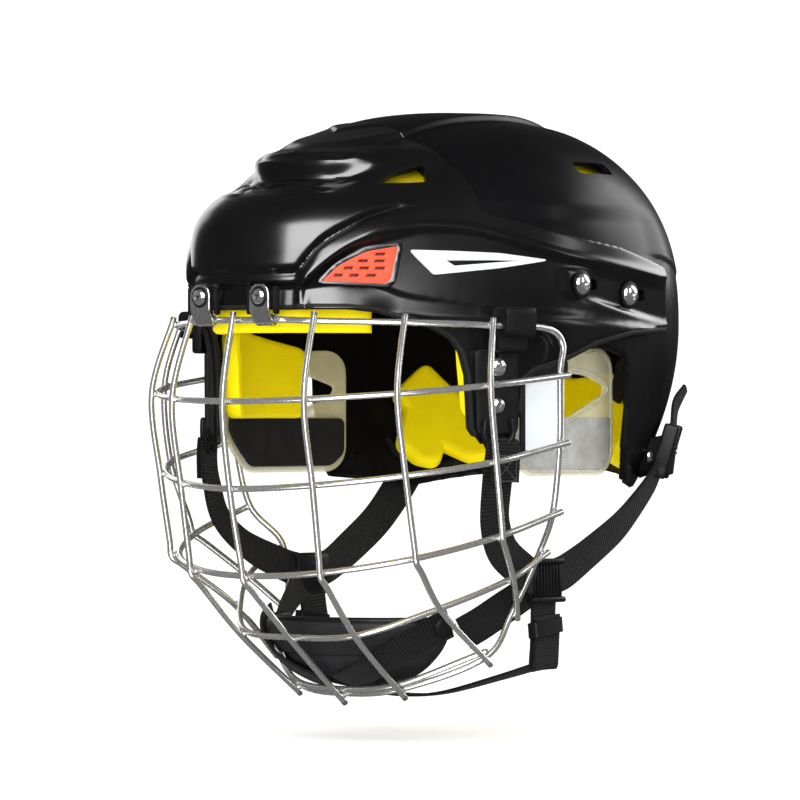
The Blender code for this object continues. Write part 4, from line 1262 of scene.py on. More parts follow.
def shell_trim():
    for label, side in SIDES:
        rim = loop_q(grown(INSERT_RIM, 1.2), 2.2)
        mesh = dome_plate("insert", [rim, *insert_slots()], 0.5, 1.6, side, 0.4)
        made = add_piece("vent_insert_" + label, mesh, CORAL, "helmet")
        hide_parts("vent_mesh_" + label)
        # a coral backing behind the slots, its colour darkened as painted shade inside the slots
        backing = dome_plate("backing", [loop_q(grown(INSERT_RIM, 2.0), 2.2)], -2.6, 0.8, side, 0.0)
        made = add_piece("vent_backing_" + label, backing, CORAL_PAINTED_SHADE, "helmet")
        border = loop_q(grown(INSERT_RIM, 3.0), 3.0)
        inner = loop_q(grown(INSERT_RIM, 1.0), 2.2)
        mesh = dome_plate("insert_rim", [border, inner], 0.75, 1.6, side, 0.5)
        made = add_piece("vent_rim_" + label, mesh, GLOSS, "helmet")
        corners = ((2.61, 32.6), (3.1, 32.2), (3.63, 31.4), (4.2, 28.7), (3.62, 25.0), (2.88, 21.6))
        tongue = ((2.98, 28.4), (3.5, 28.75), (4.06, 28.6), (3.5, 26.7), (3.1, 25.2))
        mesh = dome_plate("accent", [loop_q(corners, 1.0), loop_q(tongue, 0.6)], 0.1, 1.6, side, 0.35)
        made = add_piece("accent_film_" + label, mesh, WHITE, "helmet")
        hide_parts("side_accent_" + label)


def shell_edge_line(q_from, q_to, out, drop=0.0, count=160):
    q = np.linspace(q_from, q_to, count)
    s = front_lower(q)
    z = s_to_z(s) + drop
    return skin(q, z_to_s(z), front_out(q, z) + out)


def rubber_edges():
    """A double bead of rubber round the face opening and over each ear."""
    q_end = float(plan_q(-59.0))
    for name, out, drop, radius in (("outer", -1.4, 1.4, 1.6), ("inner", -4.6, 1.8, 1.6)):
        line = shell_edge_line(-q_end, q_end, out, drop, 420)
        made = add_piece("edge_bead_face_" + name, tube_mesh("bead", line, radius, 10), RUBBER, "helmet")
    for label, side in SIDES:
        start, end = float(plan_q(-39)), float(plan_q(61))
        line = shell_edge_line(side * start, side * end, -1.4, -0.6, 200)
        made = add_piece("edge_bead_ear_" + label, tube_mesh("bead", line, 1.6, 10), RUBBER, "helmet")


# ---------------------------------------------------------------- screws, clips and anchors


def screw_mesh(radius, height, matrix, shank=(0, 0)):
    """A domed head with a chamfered rim and a crossed driver recess with sloped ends."""
    profile = [(0.0, height), (radius * 0.4, height * 0.97), (radius * 0.72, height * 0.8)]
    profile += [(radius * 0.92, height * 0.5), (radius, height * 0.18), (radius, 0.0)]
    if shank[0]:
        profile += [(shank[0], 0.0), (shank[0], -shank[1]), (0.0, -shank[1])]
    else:
        profile += [(0.0, 0.0)]
    head = add_piece("screw_helper", turned_mesh("screw", profile, 28), None, None)
    cutters = []
    for number, turn in enumerate((20, 110)):
        slot = block_mesh("recess", (radius * 1.15, radius * 0.26, height), 0)
        for vertex in slot.vertices:
            if vertex.co.z < 0:
                vertex.co.x *= 0.45
        lift = Matrix.Translation((0, 0, height * 0.78 * MM))
        slot.transform(lift @ Matrix.Rotation(radians(turn), 4, "Z"))
        cutters.append(add_piece(f"recess_{number}", slot, None, None))
    cut(head, cutters, "EXACT")
    data = head.data
    bpy.data.objects.remove(head)
    data.transform(matrix)
    return data


def hardware(name, mesh, surface, body, slot, *nodes):
    made = add_piece(name, mesh, surface, body)
    if nodes:
        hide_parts(*nodes)
    return made


def black_part(name, mesh, body, *nodes):
    return hardware(name, mesh, MOULDED, body, "plastic_black", *nodes)


def chrome_part(name, mesh, body, *nodes):
    return hardware(name, mesh, CHROME, body, "screw_chrome", *nodes)


def foam_part(name, mesh, body, *nodes):
    """A yellow foam pad."""
    made = hardware(name, mesh, FOAM, body, "foam_yellow", *nodes)
    return made


FRONT_CLIP_X = 18.5
ANCHOR_SCREWS = ((-51, -22), (-51, -40))
PLATE_STAND_OFF = 3.3
KEYHOLE_HALF_Q = 0.035


def front_clips():
    """A stamped steel loop with a rounded tab and one screw, its foot curled round the top bar."""
    bar_y = CAGE_ROWS[0][2][0][1]
    for label, side in SIDES:
        x = side * FRONT_CLIP_X
        face_y = -138.9
        hold = WIRE_RADIUS + 0.75
        path = [(face_y, z) for z in np.linspace(16.6, 4.0, 14)]
        path += [
            (bar_y + hold * cos(radians(a)), hold * sin(radians(a))) for a in range(190, 461, 9)
        ]
        path = np.array(path)
        tangent = np.gradient(path, axis=0)
        tangent /= np.linalg.norm(tangent, axis=1, keepdims=True)
        normal = np.stack([-tangent[:, 1], tangent[:, 0]], -1)
        widths = np.full(len(path), 5.9)
        widths[:6] = (2.4, 3.9, 4.9, 5.4, 5.7, 5.85)
        widths[13:] = table(np.arange(len(path) - 13), ((0, 5.8), (6, 5.0), (len(path) - 14, 4.8)))
        across = np.linspace(-1, 1, 9)
        crown = 0.5 * (across**2)
        grids = []
        for half in (0.5, -0.5):
            points = []
            for p, n, w in zip(path, normal, widths):
                lift = half + crown * 0.4
                row = [(x + a * w, p[0] - n[0] * lf, p[1] - n[1] * lf) for a, lf in zip(across, lift)]
                points.append(row)
            grids.append(np.array(points))
        mesh = face_out(shell_mesh("clip", grids[0], grids[1], angle=40))
        made = add_piece("clip_loop_" + label, mesh, STEEL, None)
        bevel = made.modifiers.new("edge", "BEVEL")
        bevel.width = 0.00022
        bevel.segments = 2
        bevel.limit_method = "ANGLE"
        bevel.angle_limit = radians(50)
        applied(made)
        made.data.materials.clear()
        made.data.materials.append(STEEL)
        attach(made, "helmet")
        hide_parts("front_clip_" + label)
        turn = frame_matrix((x, face_y - 0.5, 10.8), (0, -1, 0))
        mesh = screw_mesh(3.9, 2.3, turn)
        chrome_part("clip_screw_" + label, mesh, "helmet", "front_clip_screw_" + label)
        washer = turned_mesh("washer", [(0.5, 0.9), (4.6, 0.7), (4.9, 0.3), (4.9, -0.2), (0.5, -0.2)], 28)
        washer.transform(turn)
        hardware("clip_washer_" + label, washer, MOULDED, "helmet", "clip_steel")
        # ribbed boss of the shell behind the clip
        ribs = []
        for offset in (-8.2, 8.2):
            spot = Matrix.Translation(Vector((x + offset, face_y + 2.4, 9)) * MM)
            ribs.append(block_mesh("rib", (2.0, 3.4, 13), 0.7, spot))
        hardware("clip_boss_" + label, joined("boss", ribs), MOULDED, "helmet", "shell_black")


def side_clips():
    """Plastic hooks over the top bar at the temples, open below, each on a foot with one screw."""
    for label, side in SIDES:
        start, end = cage_point(0, 3.12), cage_point(0, 3.52)
        along = (end - start).normalized()
        length = (end - start).length
        middle = (start + end) / 2
        outward = Vector((along.y, -along.x, 0)).normalized()
        slot = WIRE_RADIUS + 0.4
        profile = [(-5.8, 8.5), (4.4, 8.5), (5.6, 7.0), (5.6, -3.2), (slot, -3.8), (slot, slot)]
        profile += [(-slot, slot), (-slot, -11.0), (-5.8, -11.0)]
        if side < 0:
            outward = Vector((-outward.x, outward.y, 0))
            middle = Vector((-middle.x, middle.y, middle.z))
        up = Vector((0, 0, 1))
        turn = Matrix((outward, up, outward.cross(up))).transposed().to_4x4()
        place = Matrix.Translation(middle * MM) @ turn
        mesh = outline_mesh("clip", [rounded(profile, 1.3, 3)], length, 0.6)
        mesh.transform(place)
        ribs = [mesh]
        for shift in (-0.28, 0.0, 0.28):
            spot = place @ Matrix.Translation(Vector((5.5, 1.8, shift * length)) * MM)
            ribs.append(block_mesh("rib", (1.0, 8.0, 2.2), 0.45, spot))
        foot = place @ Matrix.Translation(Vector((-4.4, 0.5, -side * (length / 2 + 2.2))) * MM)
        ribs.append(block_mesh("foot", (2.6, 12.5, 7.0), 1.0, foot))
        black_part("temple_clip_" + label, joined("clip", ribs), "helmet", "side_clip_" + label)
        spot = place @ Matrix.Translation(Vector((-3.1, 0.8, -side * (length / 2 + 2.9))) * MM)
        screw_at = spot @ Matrix.Rotation(radians(90), 4, "Y")
        mesh = screw_mesh(2.7, 1.5, screw_at)
        black_part("temple_clip_screw_" + label, mesh, "helmet")


def tongue_plates():
    """The strap's anchor in front of the ear: a plate with a keyhole, two screws and a D loop."""
    for label, side in SIDES:
        q0, q1 = float(plan_q(-60.5)), float(plan_q(-41.5))
        rim = loop_q(((q0, -14), (q1, -15), (q1, -52), (q0 + 0.03, -54)), 3.0)
        middle_q = float(plan_q(-51))
        key_q0, key_q1 = middle_q - KEYHOLE_HALF_Q, middle_q + KEYHOLE_HALF_Q
        key = loop_q(((key_q0, -15.6), (key_q1, -15.6), (key_q1, -18), (key_q0, -18)), 0.8)
        mesh = dome_plate("anchor", [rim, key], PLATE_STAND_OFF, 2.6, side, 0.6)
        black_part("anchor_plate_" + label, mesh, "helmet", "strap_anchor_" + label)
        for number, (y, z) in enumerate(ANCHOR_SCREWS, 1):
            q = side * float(plan_q(y))
            at = skin_point(q, z, PLATE_STAND_OFF)
            outward = skin_point(q, z, 1) - skin_point(q, z, 0)
            radius = 4.4 if number == 1 else 3.7
            mesh = screw_mesh(radius, 2.3, frame_matrix(at, outward))
            head, node = f"anchor_screw_head_{number}_{label}", f"anchor_screw_{number}_{label}"
            chrome_part(head, mesh, "helmet", node)
        # two cords that loop down from the plate to the strap
        for number, (out, low) in enumerate(((3.6, -62), (5.0, -58))):
            stations = []
            for y, z in ((-57, -47), (-57.5, -54), (-54, low), (-48, low), (-44.5, -54), (-45, -47)):
                stations.append(skin_point(side * float(plan_q(y)), z, out))
            mesh = tube_mesh("loop", spline(stations, 7), 1.3, 10)
            black_part(f"anchor_loop_{number + 1}_{label}", mesh, "helmet")


def wing_screws():
    for label, side in SIDES:
        for number, (y, z) in enumerate(SIZE_SCREWS, 1):
            turn = frame_matrix((side * (SLOT_FLAT_X + 0.9), y, z), (side, 0, 0))
            mesh = screw_mesh(5.1, 2.2, turn, (1.9, 6.0))
            chrome_part(f"wing_screw_{number}_{label}", mesh, "rear_half", f"size_screw_{number}_{label}")
            profile = [(2.0, 0.5), (6.3, 0.35), (6.6, 0.1), (6.6, -0.1), (2.0, -0.1)]
            washer = turned_mesh("washer", profile, 32, turn)
            black_part(f"wing_washer_{number}_{label}", washer, "rear_half")


# ---------------------------------------------------------------- ear guards, labels and temple pads

GUARD_PLAN = ((81.5, -56), (88, -38), (90, -18), (89.5, 5), (87, 33), (83, 62))
GUARD_RIM = ((-54, -20), (-34, -14), (34, -13), (42, -19), (42, -66), (34, -73), (-28, -73), (-54, -52))
GUARD_HOLE = ((-2, -24), (17, -25), (36, -30.5), (34, -35), (-2, -48))
LABEL_RIM = ((-31, -26), (-2, -26), (-2, -61), (-31, -61))
TEMPLE_PAD_RIM = ((-56, -4), (2, -14), (2, -44), (-52, -44))
GUARD_CURVE = spline(GUARD_PLAN, 40)


def guard_x(y):
    return np.interp(y, GUARD_CURVE[:, 1], GUARD_CURVE[:, 0])


def bent_plate(loops, thickness, depth, side, bevel=0.3, step=3.5):
    """A plate drawn as (y, z) outlines and bent to the ear guard's plan, depth inside its face."""
    mesh = outline_mesh("plate", loops, thickness, bevel)
    sliced(mesh, step, 8)
    co = np.array([v.co for v in mesh.vertices]) / MM
    x = side * (guard_x(co[:, 0]) - depth - thickness / 2 + co[:, 2])
    points = np.stack([x, co[:, 0], co[:, 1]], -1)
    mesh.vertices.foreach_set("co", (points * MM).ravel())
    face_out(mesh)
    mesh.shade_smooth()
    mesh.set_sharp_from_angle(angle=radians(35))
    return mesh


def offset_loop(loop, by):
    """A closed outline of dense points moved in by so many millimetres."""
    p = np.array([tuple(v) for v in loop], float)
    along = np.roll(p, -1, 0) - np.roll(p, 1, 0)
    along /= np.maximum(np.linalg.norm(along, axis=1, keepdims=True), 1e-9)
    area = np.sum(p[:, 0] * np.roll(p[:, 1], -1) - np.roll(p[:, 0], -1) * p[:, 1])
    inward = np.stack([-along[:, 1], along[:, 0]], -1) * (1 if area > 0 else -1)
    return [Vector(v) for v in p + inward * by]


def dense(loop, step=2.5):
    out = []
    for i, here in enumerate(loop):
        here, after = Vector(here), Vector(loop[(i + 1) % len(loop)])
        count = max(1, round((after - here).length / step))
        out += [here.lerp(after, k / count) for k in range(count)]
    return out


def loop_on_guard(loop, side, out):
    return [(side * (float(guard_x(p[0])) + out), p[0], p[1]) for p in loop]


def ear_guards():
    for label, side in SIDES:
        rim = dense(rounded(GUARD_RIM, 6))
        hole = dense(rounded(GUARD_HOLE, 4))
        mesh = bent_plate([rim, hole], 2.0, 0, side, 0.5)
        hardware("guard_" + label, mesh, CLEAR, "helmet", "clear_plastic", "ear_guard_" + label)
        # the raised bead of the guard round its hole and rim, thicker than its wall
        bead = tube_mesh("bead", loop_on_guard(offset_loop(rim, 1.6), side, 0.0), 1.0, 8, closed=True)
        hardware("guard_rim_bead_" + label, bead, CLEAR_EDGE, "helmet", "clear_plastic")
        bead = tube_mesh("bead", loop_on_guard(offset_loop(hole, -1.6), side, 0.0), 0.9, 8, closed=True)
        hardware("guard_hole_bead_" + label, bead, CLEAR_EDGE, "helmet", "clear_plastic")
        # frosted band along the foot of the guard
        band = ((-50, -46), (40, -46), (40, -65), (33, -71), (-27, -71), (-50, -51))
        mesh = bent_plate([dense(rounded(band, 3))], 0.5, -0.3, side, 0.15)
        hardware("guard_band_" + label, mesh, FROST, "helmet", "clear_plastic")
        # a dark strip of padding lies behind the band
        strip = ((-48, -47), (39, -47), (39, -64), (31, -70), (-27, -70), (-48, -52))
        mesh = bent_plate([dense(rounded(strip, 3))], 1.6, 2.3, side, 0.4)
        hardware("guard_lining_" + label, mesh, BLACK_FOAM, "helmet", "foam_yellow")
        mesh = bent_plate([dense(rounded(LABEL_RIM, 1.5, 3))], 0.5, -0.9, side, 0.15)
        hardware("label_" + label, mesh, WHITE, "helmet", "white_trim", "side_label_" + label)
        edge = ((-33.5, -19), (0.5, -19), (0.5, -26.2), (-31.2, -26.2), (-31.2, -62), (-33.5, -62))
        mesh = bent_plate([dense(rounded(edge, 0.9, 3))], 1.6, -1.4, side, 0.4)
        hardware("label_frame_" + label, mesh, RUBBER, "helmet", "plastic_black")


def foam_block(name, loop, depth, thickness, side, node):
    """A foam pad behind the guard, rounded at its edges."""
    mesh = bent_plate([dense(rounded(loop, 4), 3)], thickness, depth, side, 2.4, 3)
    foam_part(name, mesh, "helmet", node)


def temple_pads():
    for label, side in SIDES:
        foam_block("temple_foam_" + label, TEMPLE_PAD_RIM, 2.3, 11, side, "temple_pad_" + label)


# ---------------------------------------------------------------- liner inside the shells


def pad_mesh(q, z_low, z_high, inset, thickness, name, crown=1.5, step=3.0):
    """A foam pad on the inside of the dome between two heights, rounded at every edge.
    z_low and z_high are numbers or lines over q."""
    columns = len(q)
    low = z_low if np.ndim(z_low) else np.full(columns, float(z_low))
    high = z_high if np.ndim(z_high) else np.full(columns, float(z_high))
    rows = int(max(high - low) / step) + 6
    f = np.linspace(0, 1, rows)[:, None]
    s = z_to_s(low) + (z_to_s(high) - z_to_s(low)) * f
    qq = np.broadcast_to(q, s.shape)
    g = np.linspace(0, 1, columns)[None, :]
    width = np.sum(np.linalg.norm(np.diff(dome(q, s[rows // 2]), axis=0), axis=1))
    height = float(np.mean(high - low))
    edge = np.minimum(np.minimum(f, 1 - f) * height, np.minimum(g, 1 - g) * width)
    round_in = np.clip(1 - edge / 4.0, 0, 1)
    dip = 4.0 * (1 - np.sqrt(np.maximum(1 - round_in**2, 0)))
    swell = crown * np.sqrt(np.clip(edge / 12.0, 0, 1))
    outer = skin(qq, s, -(inset + dip * 0.4))
    inner = skin(qq, s, -(inset + thickness - dip + swell - crown))
    return shell_mesh(name, outer, inner, angle=60)


def liner():
    reach = float(plan_q(-100))
    q = even_q(-reach, reach, 2.5)
    mesh = face_out(pad_mesh(q, -6, 48, 12.0, 9, "forehead"))
    foam_part("forehead_foam", mesh, "helmet", "forehead_pad")
    for label, side in SIDES:
        # temple foam along the brow, behind the insert
        q = side * even_q(1.45, 3.0, 2.5)
        mesh = face_out(pad_mesh(q, 14, 46, 9.0, 9, "brow_side"))
        foam_part("brow_foam_" + label, mesh, "helmet")
        # foam behind the small upper vent
        q = side * even_q(1.6, 3.0, 2.5)
        mesh = face_out(pad_mesh(q, 58, 79, 13.4, 6, "vent_foam"))
        foam_part("upper_vent_foam_" + label, mesh, "helmet")


def rear_liner():
    # the crown cap
    q = even_q(-8, 8, 3.0)[:-1]
    rows = 22
    s = np.linspace(z_to_s(74.0), 0.985, rows)[:, None]
    qq = np.broadcast_to(q, (rows, len(q)))
    f = np.linspace(0, 1, rows)[:, None]
    dip = 3.5 * np.clip(1 - f * 9, 0, 1) ** 2
    spread = np.broadcast_to(s, qq.shape)
    outer = skin(qq, spread, -(11.6 + dip))
    inner = skin(qq, spread, -(22.0 - dip))
    points, faces = capped(outer, inner)
    mesh = face_out(mesh_from("crown", points, faces, angle=60))
    foam_part("crown_foam", mesh, "rear_half", "crown_pad")
    # the back pad: a wing a side that rises from the nape to a point, with a waist between
    wing = (
        (8.1, -34), (7.55, -30), (7.0, -44), (6.6, -24), (6.25, -39), (6.4, -47), (6.28, -66),
        (6.5, -74), (6.75, -76), (6.8, -66), (7.15, -74), (7.5, -68), (8.1, -68),
    )
    wings = [dome_plate("wing", [loop_q(wing, 3.0)], -9.4, 11.0, side, 2.4) for _, side in SIDES]
    mesh = joined("back", wings)
    foam_part("back_foam", mesh, "rear_half", "rear_pad")
    for label, side in SIDES:
        q = side * even_q(float(plan_q(4)), float(plan_q(80)), 2.5)
        mesh = face_out(pad_mesh(q, 8, 50, 13.2, 11, "side"))
        foam_part("side_foam_" + label, mesh, "rear_half", "side_pad_" + label)
        # black foam behind the vent beside the middle of the back
        corners = ((6.75, 11), (7.5, 11), (7.5, 49), (6.75, 49))
        mesh = dome_plate("backing", [loop_q(corners, 5)], -9.0, 5.0, side, 1.0)
        hardware("back_vent_foam_" + label, mesh, BLACK_FOAM, "rear_half", "foam_yellow")
        # black vent pockets pressed into the back pad
        for number, (at_q, z, half_q, half_z) in enumerate(((6.75, 6, 0.11, 9), (7.25, -34, 0.12, 13))):
            corners = [
                (at_q - half_q, z - half_z),
                (at_q + half_q, z - half_z * 0.7),
                (at_q + half_q, z + half_z),
                (at_q - half_q, z + half_z * 0.7),
            ]
            mesh = dome_plate("pocket", [loop_q(corners, 3)], -21.4, 2.0, side, 0.5)
            name = f"back_pocket_{number + 1}_{label}"
            hardware(name, mesh, BLACK_FOAM, "rear_half", "foam_yellow")


CORAL_PAINTED_SHADE = coral_painted_shade()
FROST = frost_band()
CLEAR_EDGE = clear_edge()

shell_trim()
rubber_edges()
front_clips()
side_clips()
tongue_plates()
wing_screws()
ear_guards()
temple_pads()
liner()
rear_liner()

# ---------------------------------------------------------------- straps


def ribbon_mesh(stations, faces, width, thickness, per_span=8, crown=0.25, widths=None):
    """A woven tape along the stations; faces are the ways its face looks at each station."""
    line = spline(stations, per_span)
    looks = spline(faces, per_span)
    wide = np.full(len(line), float(width)) if widths is None else spline_values(widths, per_span)
    tangent = np.gradient(line, axis=0)
    tangent /= np.linalg.norm(tangent, axis=1, keepdims=True)
    looks = looks - tangent * np.sum(looks * tangent, axis=1, keepdims=True)
    looks /= np.linalg.norm(looks, axis=1, keepdims=True)
    across = np.cross(tangent, looks)
    profile = []
    for a in (-1, -0.965, -0.85, -0.5, 0, 0.5, 0.85, 0.965, 1):
        thin = 0.55 if abs(a) == 1 else 0.9 if abs(a) > 0.9 else 1.0
        profile.append((a, thickness / 2 * thin))
    ring = profile + [(a, -h) for a, h in reversed(profile)]
    run = np.concatenate([[0], np.cumsum(np.linalg.norm(np.diff(line, axis=0), axis=1))])
    points, flat = [], []
    for i in range(len(line)):
        for a, h in ring:
            bow = crown * (1 - a * a)
            points.append(line[i] + across[i] * a * wide[i] / 2 + looks[i] * (h + bow))
            flat.append((run[i] * MM, a * wide[i] / 2 * MM))
    count = len(ring)
    faces_list = grid_faces(len(line), count, closed=True)
    faces_list.append(list(range(count))[::-1])
    faces_list.append([(len(line) - 1) * count + k for k in range(count)])
    data = mesh_from("tape", points, faces_list, angle=40)
    layer = data.uv_layers.new(name="tape")
    corner = np.empty(len(data.loops), int)
    data.loops.foreach_get("vertex_index", corner)
    layer.data.foreach_set("uv", np.array(flat)[corner].ravel())
    bm = bmesh.new()
    bm.from_mesh(data)
    bmesh.ops.recalc_face_normals(bm, faces=bm.faces)
    bm.to_mesh(data)
    bm.free()
    return data


def spline_values(values, per_span):
    return spline([(v, 0) for v in values], per_span)[:, 0]


def flip(side, points):
    return [(side * p[0], p[1], p[2]) for p in points]


def strap(name, side, stations, faces, width, body, *nodes, thickness=1.6, blend=None, **extra):
    mesh = ribbon_mesh(flip(side, stations), flip(side, faces), width, thickness, **extra)
    made = add_piece(name, mesh, TAPE, body)
    if nodes:
        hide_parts(*nodes)
    if blend:
        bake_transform(made)
    return made


def stitches(name, corners, at, outward, up, body):
    """Short raised threads round a box and across it, as sewn webbing has."""
    threads = []
    turn = frame_matrix(at, outward, up)
    lines = list(zip(corners, corners[1:] + corners[:1]))
    lines.append((corners[0], corners[2]))
    lines.append((corners[1], corners[3]))
    for start, end in lines:
        start, end = Vector(start), Vector(end)
        count = max(2, int((end - start).length / 1.9))
        for k in range(count):
            a = start.lerp(end, (k + 0.15) / count)
            b = start.lerp(end, (k + 0.85) / count)
            points = [(a[0], a[1], -0.05), (*((a + b) / 2), 0.22), (b[0], b[1], -0.05)]
            threads.append(tube_mesh("thread", points, 0.26, 6))
    mesh = joined("threads", threads)
    mesh.transform(turn)
    made = add_piece(name, mesh, THREAD, body)
    return made


def side_straps(label, side):
    ear = (
        (92.5, -51, -58), (91.6, -52, -68), (90, -52, -78), (86.5, -49, -95), (81, -36, -109),
        (76, -14, -119), (74.5, -4, -122),
    )
    ear_faces = (
        (1, -0.3, 0), (1, -0.3, 0), (1, -0.25, -0.1), (1, -0.2, -0.2), (1, -0.3, -0.2),
        (1, -0.15, -0.1), (1, -0.05, 0),
    )
    strap("ear_tape_" + label, side, ear, ear_faces, 17, "helmet", "ear_strap_" + label)
    # the tape's end, folded over the loops and sewn down
    back = (
        (94.4, -51.5, -76), (94.8, -51.4, -66), (94.6, -51, -58.5), (93.2, -50.8, -56.3),
        (91.6, -50.8, -58.5),
    )
    back_faces = ((1, -0.25, -0.1), (1, -0.25, 0), (0.9, -0.2, 0.5), (0.1, 0, 1), (-1, 0.2, 0.4))
    strap("ear_tape_fold_" + label, side, back, back_faces, 16.4, "helmet", thickness=1.5)
    corners = [(-6, -7), (6, -7), (6, 5), (-6, 5)]
    at, outward = (side * 95.6, -51.8, -68.5), (side * 1, -0.25, -0.03)
    stitches("ear_tape_stitches_" + label, corners, at, outward, (0, 0, 1), "helmet")
    rear = (
        (79.5, 88, -70), (79.4, 82, -77.5), (78.5, 70, -89), (77.6, 56, -100), (76, 34, -112.5),
        (75, 20, -119.5), (74.6, 12, -122),
    )
    rear_faces = (
        (0.85, 0.45, -0.2), (0.9, 0.4, -0.2), (0.95, 0.3, -0.2), (1, 0.15, -0.2), (1, 0.1, -0.1),
        (1, 0, 0), (1, 0, 0),
    )
    between = ("helmet", "rear_half", (side * 0.0755, 0.026, -0.117), (side * 0.0795, 0.082, -0.078))
    strap("rear_tape_" + label, side, rear, rear_faces, 17, None, "rear_strap_" + label, blend=between)
    chin = (
        (73.5, 2, -125), (71.2, -10, -131), (67.5, -20, -137), (63, -30, -143.5),
        (58.6, -38.5, -148.5),
    )
    chin_faces = ((1, -0.05, 0), (1, -0.2, 0), (1, -0.3, 0.1), (1, -0.35, 0.1), (1, -0.5, 0.1))
    strap("chin_tape_" + label, side, chin, chin_faces, 16, "helmet", "chin_strap_" + label)
    # the hanging end: down, folded at the foot and back up outside, tucked in a keeper
    tail = (
        (73.6, 4, -131), (72.6, 4.8, -142), (71.2, 6, -154), (69.6, 7, -163.5),
        (70.2, 7.2, -166.2), (72.2, 7, -165.6), (73.6, 6.2, -158), (75.0, 5.2, -147),
        (75.6, 4.6, -141),
    )
    tail_faces = (
        (1, 0, 0.05), (1, 0, 0.1), (1, 0, 0.15), (1, 0, 0.3), (0.1, 0, 1.0), (-1, 0, 0.4),
        (-1, 0, 0.1), (-1, 0, 0.05), (-1, 0, 0.05),
    )
    keeper = "strap_keeper_" + label
    strap("tail_tape_" + label, side, tail, tail_faces, 18.5, "helmet", keeper, thickness=1.5)
    ring = frame_matrix((side * 74.0, 5.0, -146.5), (side, 0, 0.1))
    loop = []
    half_w, half_h, depth = 10.6, 3.6, 3.0
    hoop = rounded([(-half_w, -depth), (half_w, -depth), (half_w, depth), (-half_w, depth)], 1.6)
    for y in np.linspace(-half_h, half_h, 5):
        loop.append([(p[0], y + 0.12 * p[0], p[1]) for p in hoop])
    inner = rounded([(-9.6, -2.1), (9.6, -2.1), (9.6, 2.1), (-9.6, 2.1)], 1.2)
    outer_grid = np.array(loop, float)
    heights = np.linspace(-half_h, half_h, 5)
    inner_grid = np.array([[(p[0], y + 0.12 * p[0], p[1]) for p in inner] for y in heights])
    mesh = face_out(shell_mesh("keeper", outer_grid, inner_grid, closed=True, angle=40))
    mesh.transform(ring)
    hardware("tail_keeper_" + label, mesh, MOULDED, "helmet", "webbing_black")
    slider(label, side)
    nape_buckle(label, side)


def slider(label, side):
    """The ladder lock where the tapes meet: a frame with bars across, ribs on its face."""
    place = frame_matrix((side * 73.6, 4, -124), (side, -0.05, 0.05))
    parts = [block_mesh("plate", (24, 20, 3.2), 1.2, place)]
    for k in range(-4, 5):
        rib = place @ Matrix.Translation(Vector((k * 2.3, 0, 2.1)) * MM)
        parts.append(block_mesh("rib", (1.15, 15.5, 1.8), 0.45, rib))
    for y in (-9.2, 9.2):
        bar = place @ Matrix.Translation(Vector((0, y, 1.6)) * MM)
        parts.append(block_mesh("bar", (24.6, 2.8, 4.2), 1.1, bar))
    black_part("slider_" + label, joined("slider", parts), "helmet", "strap_slider_" + label)


def nape_buckle(label, side):
    """A cam buckle at the nape: body, lever, side cheeks, and the loose end of its tape."""
    place = frame_matrix((side * 79.5, 91.5, -62), (side * 0.82, 0.5, -0.28))
    parts = [block_mesh("body", (18, 25, 4.6), 1.8, place, 3)]
    for x in (-9.2, 9.2):
        cheek = place @ Matrix.Translation(Vector((x, 0, 1.6)) * MM)
        parts.append(block_mesh("cheek", (2.6, 27, 7.5), 1.2, cheek, 3))
    lever = place @ Matrix.Translation(Vector((0, -1, 4.6)) * MM) @ Matrix.Rotation(radians(-9), 4, "X")
    parts.append(block_mesh("lever", (14.5, 20, 2.6), 1.1, lever, 3))
    for k in range(4):
        grip = lever @ Matrix.Translation(Vector((0, 1 + 2.4 * k, 1.5)) * MM)
        parts.append(block_mesh("grip", (12.5, 1.1, 1.0), 0.4, grip))
    pin = place @ Matrix.Translation(Vector((0, -9.5, 3.0)) * MM) @ Matrix.Rotation(radians(90), 4, "Y")
    parts.append(turned_mesh("pin", [(0, 10.6), (1.7, 10.6), (1.7, -10.6), (0, -10.6)], 20, pin))
    black_part("nape_lock_" + label, joined("buckle", parts), "rear_half", "nape_buckle_" + label)
    loose = (
        (79.5, 90.0, -74), (82.6, 92.5, -60), (83.2, 94.5, -50), (82.8, 97, -40),
        (85.0, 102, -31.5),
    )
    faces = ((0.82, 0.5, -0.3), (0.84, 0.5, -0.1), (0.84, 0.5, 0.1), (0.8, 0.5, 0.2), (0.85, 0.4, -0.3))
    widths = (15, 15, 15, 14, 10)
    strap("nape_tape_end_" + label, side, loose, faces, 15, "rear_half", thickness=1.5, widths=widths)
    # the tab on the rear shell that the buckle hangs from
    tab = ((76.5, 74, -66), (80.5, 79, -64.5), (82, 84, -63), (80.8, 89, -62))
    faces = ((0.95, 0.3, -0.1), (0.95, 0.3, -0.1), (0.9, 0.4, -0.2), (0.82, 0.5, -0.28))
    widths = (22, 20, 17, 16)
    mesh = ribbon_mesh(flip(side, tab), flip(side, faces), 20, 2.6, widths=widths)
    black_part("nape_tab_" + label, mesh, "rear_half")
    at = (side * 81.2, 78.0, -65.0)
    turn = frame_matrix(at, (side * 0.93, 0.33, -0.15))
    mesh = turned_mesh("rivet", [(0, 1.4), (1.6, 1.3), (2.9, 0.7), (3.2, 0), (0, 0)], 24, turn)
    chrome_part("nape_rivet_" + label, mesh, "rear_half")


def under_strap():
    half = (
        (0, -10, -180.6), (22, -7.5, -178.8), (48, 1, -171.4), (64, 6.4, -166.2),
        (69.5, 7.2, -163.8),
    )
    line = mirror_half(half)
    half_faces = ((0, 0, -1), (0.2, 0, -1), (0.5, 0, -0.9), (0.7, 0, -0.7), (0.9, 0, -0.5))
    faces = [(-f[0], f[1], f[2]) for f in reversed(half_faces[1:])] + list(half_faces)
    strap("under_tape", 1, line, faces, 10, "helmet", "under_strap", thickness=1.4)


# ---------------------------------------------------------------- chin cup

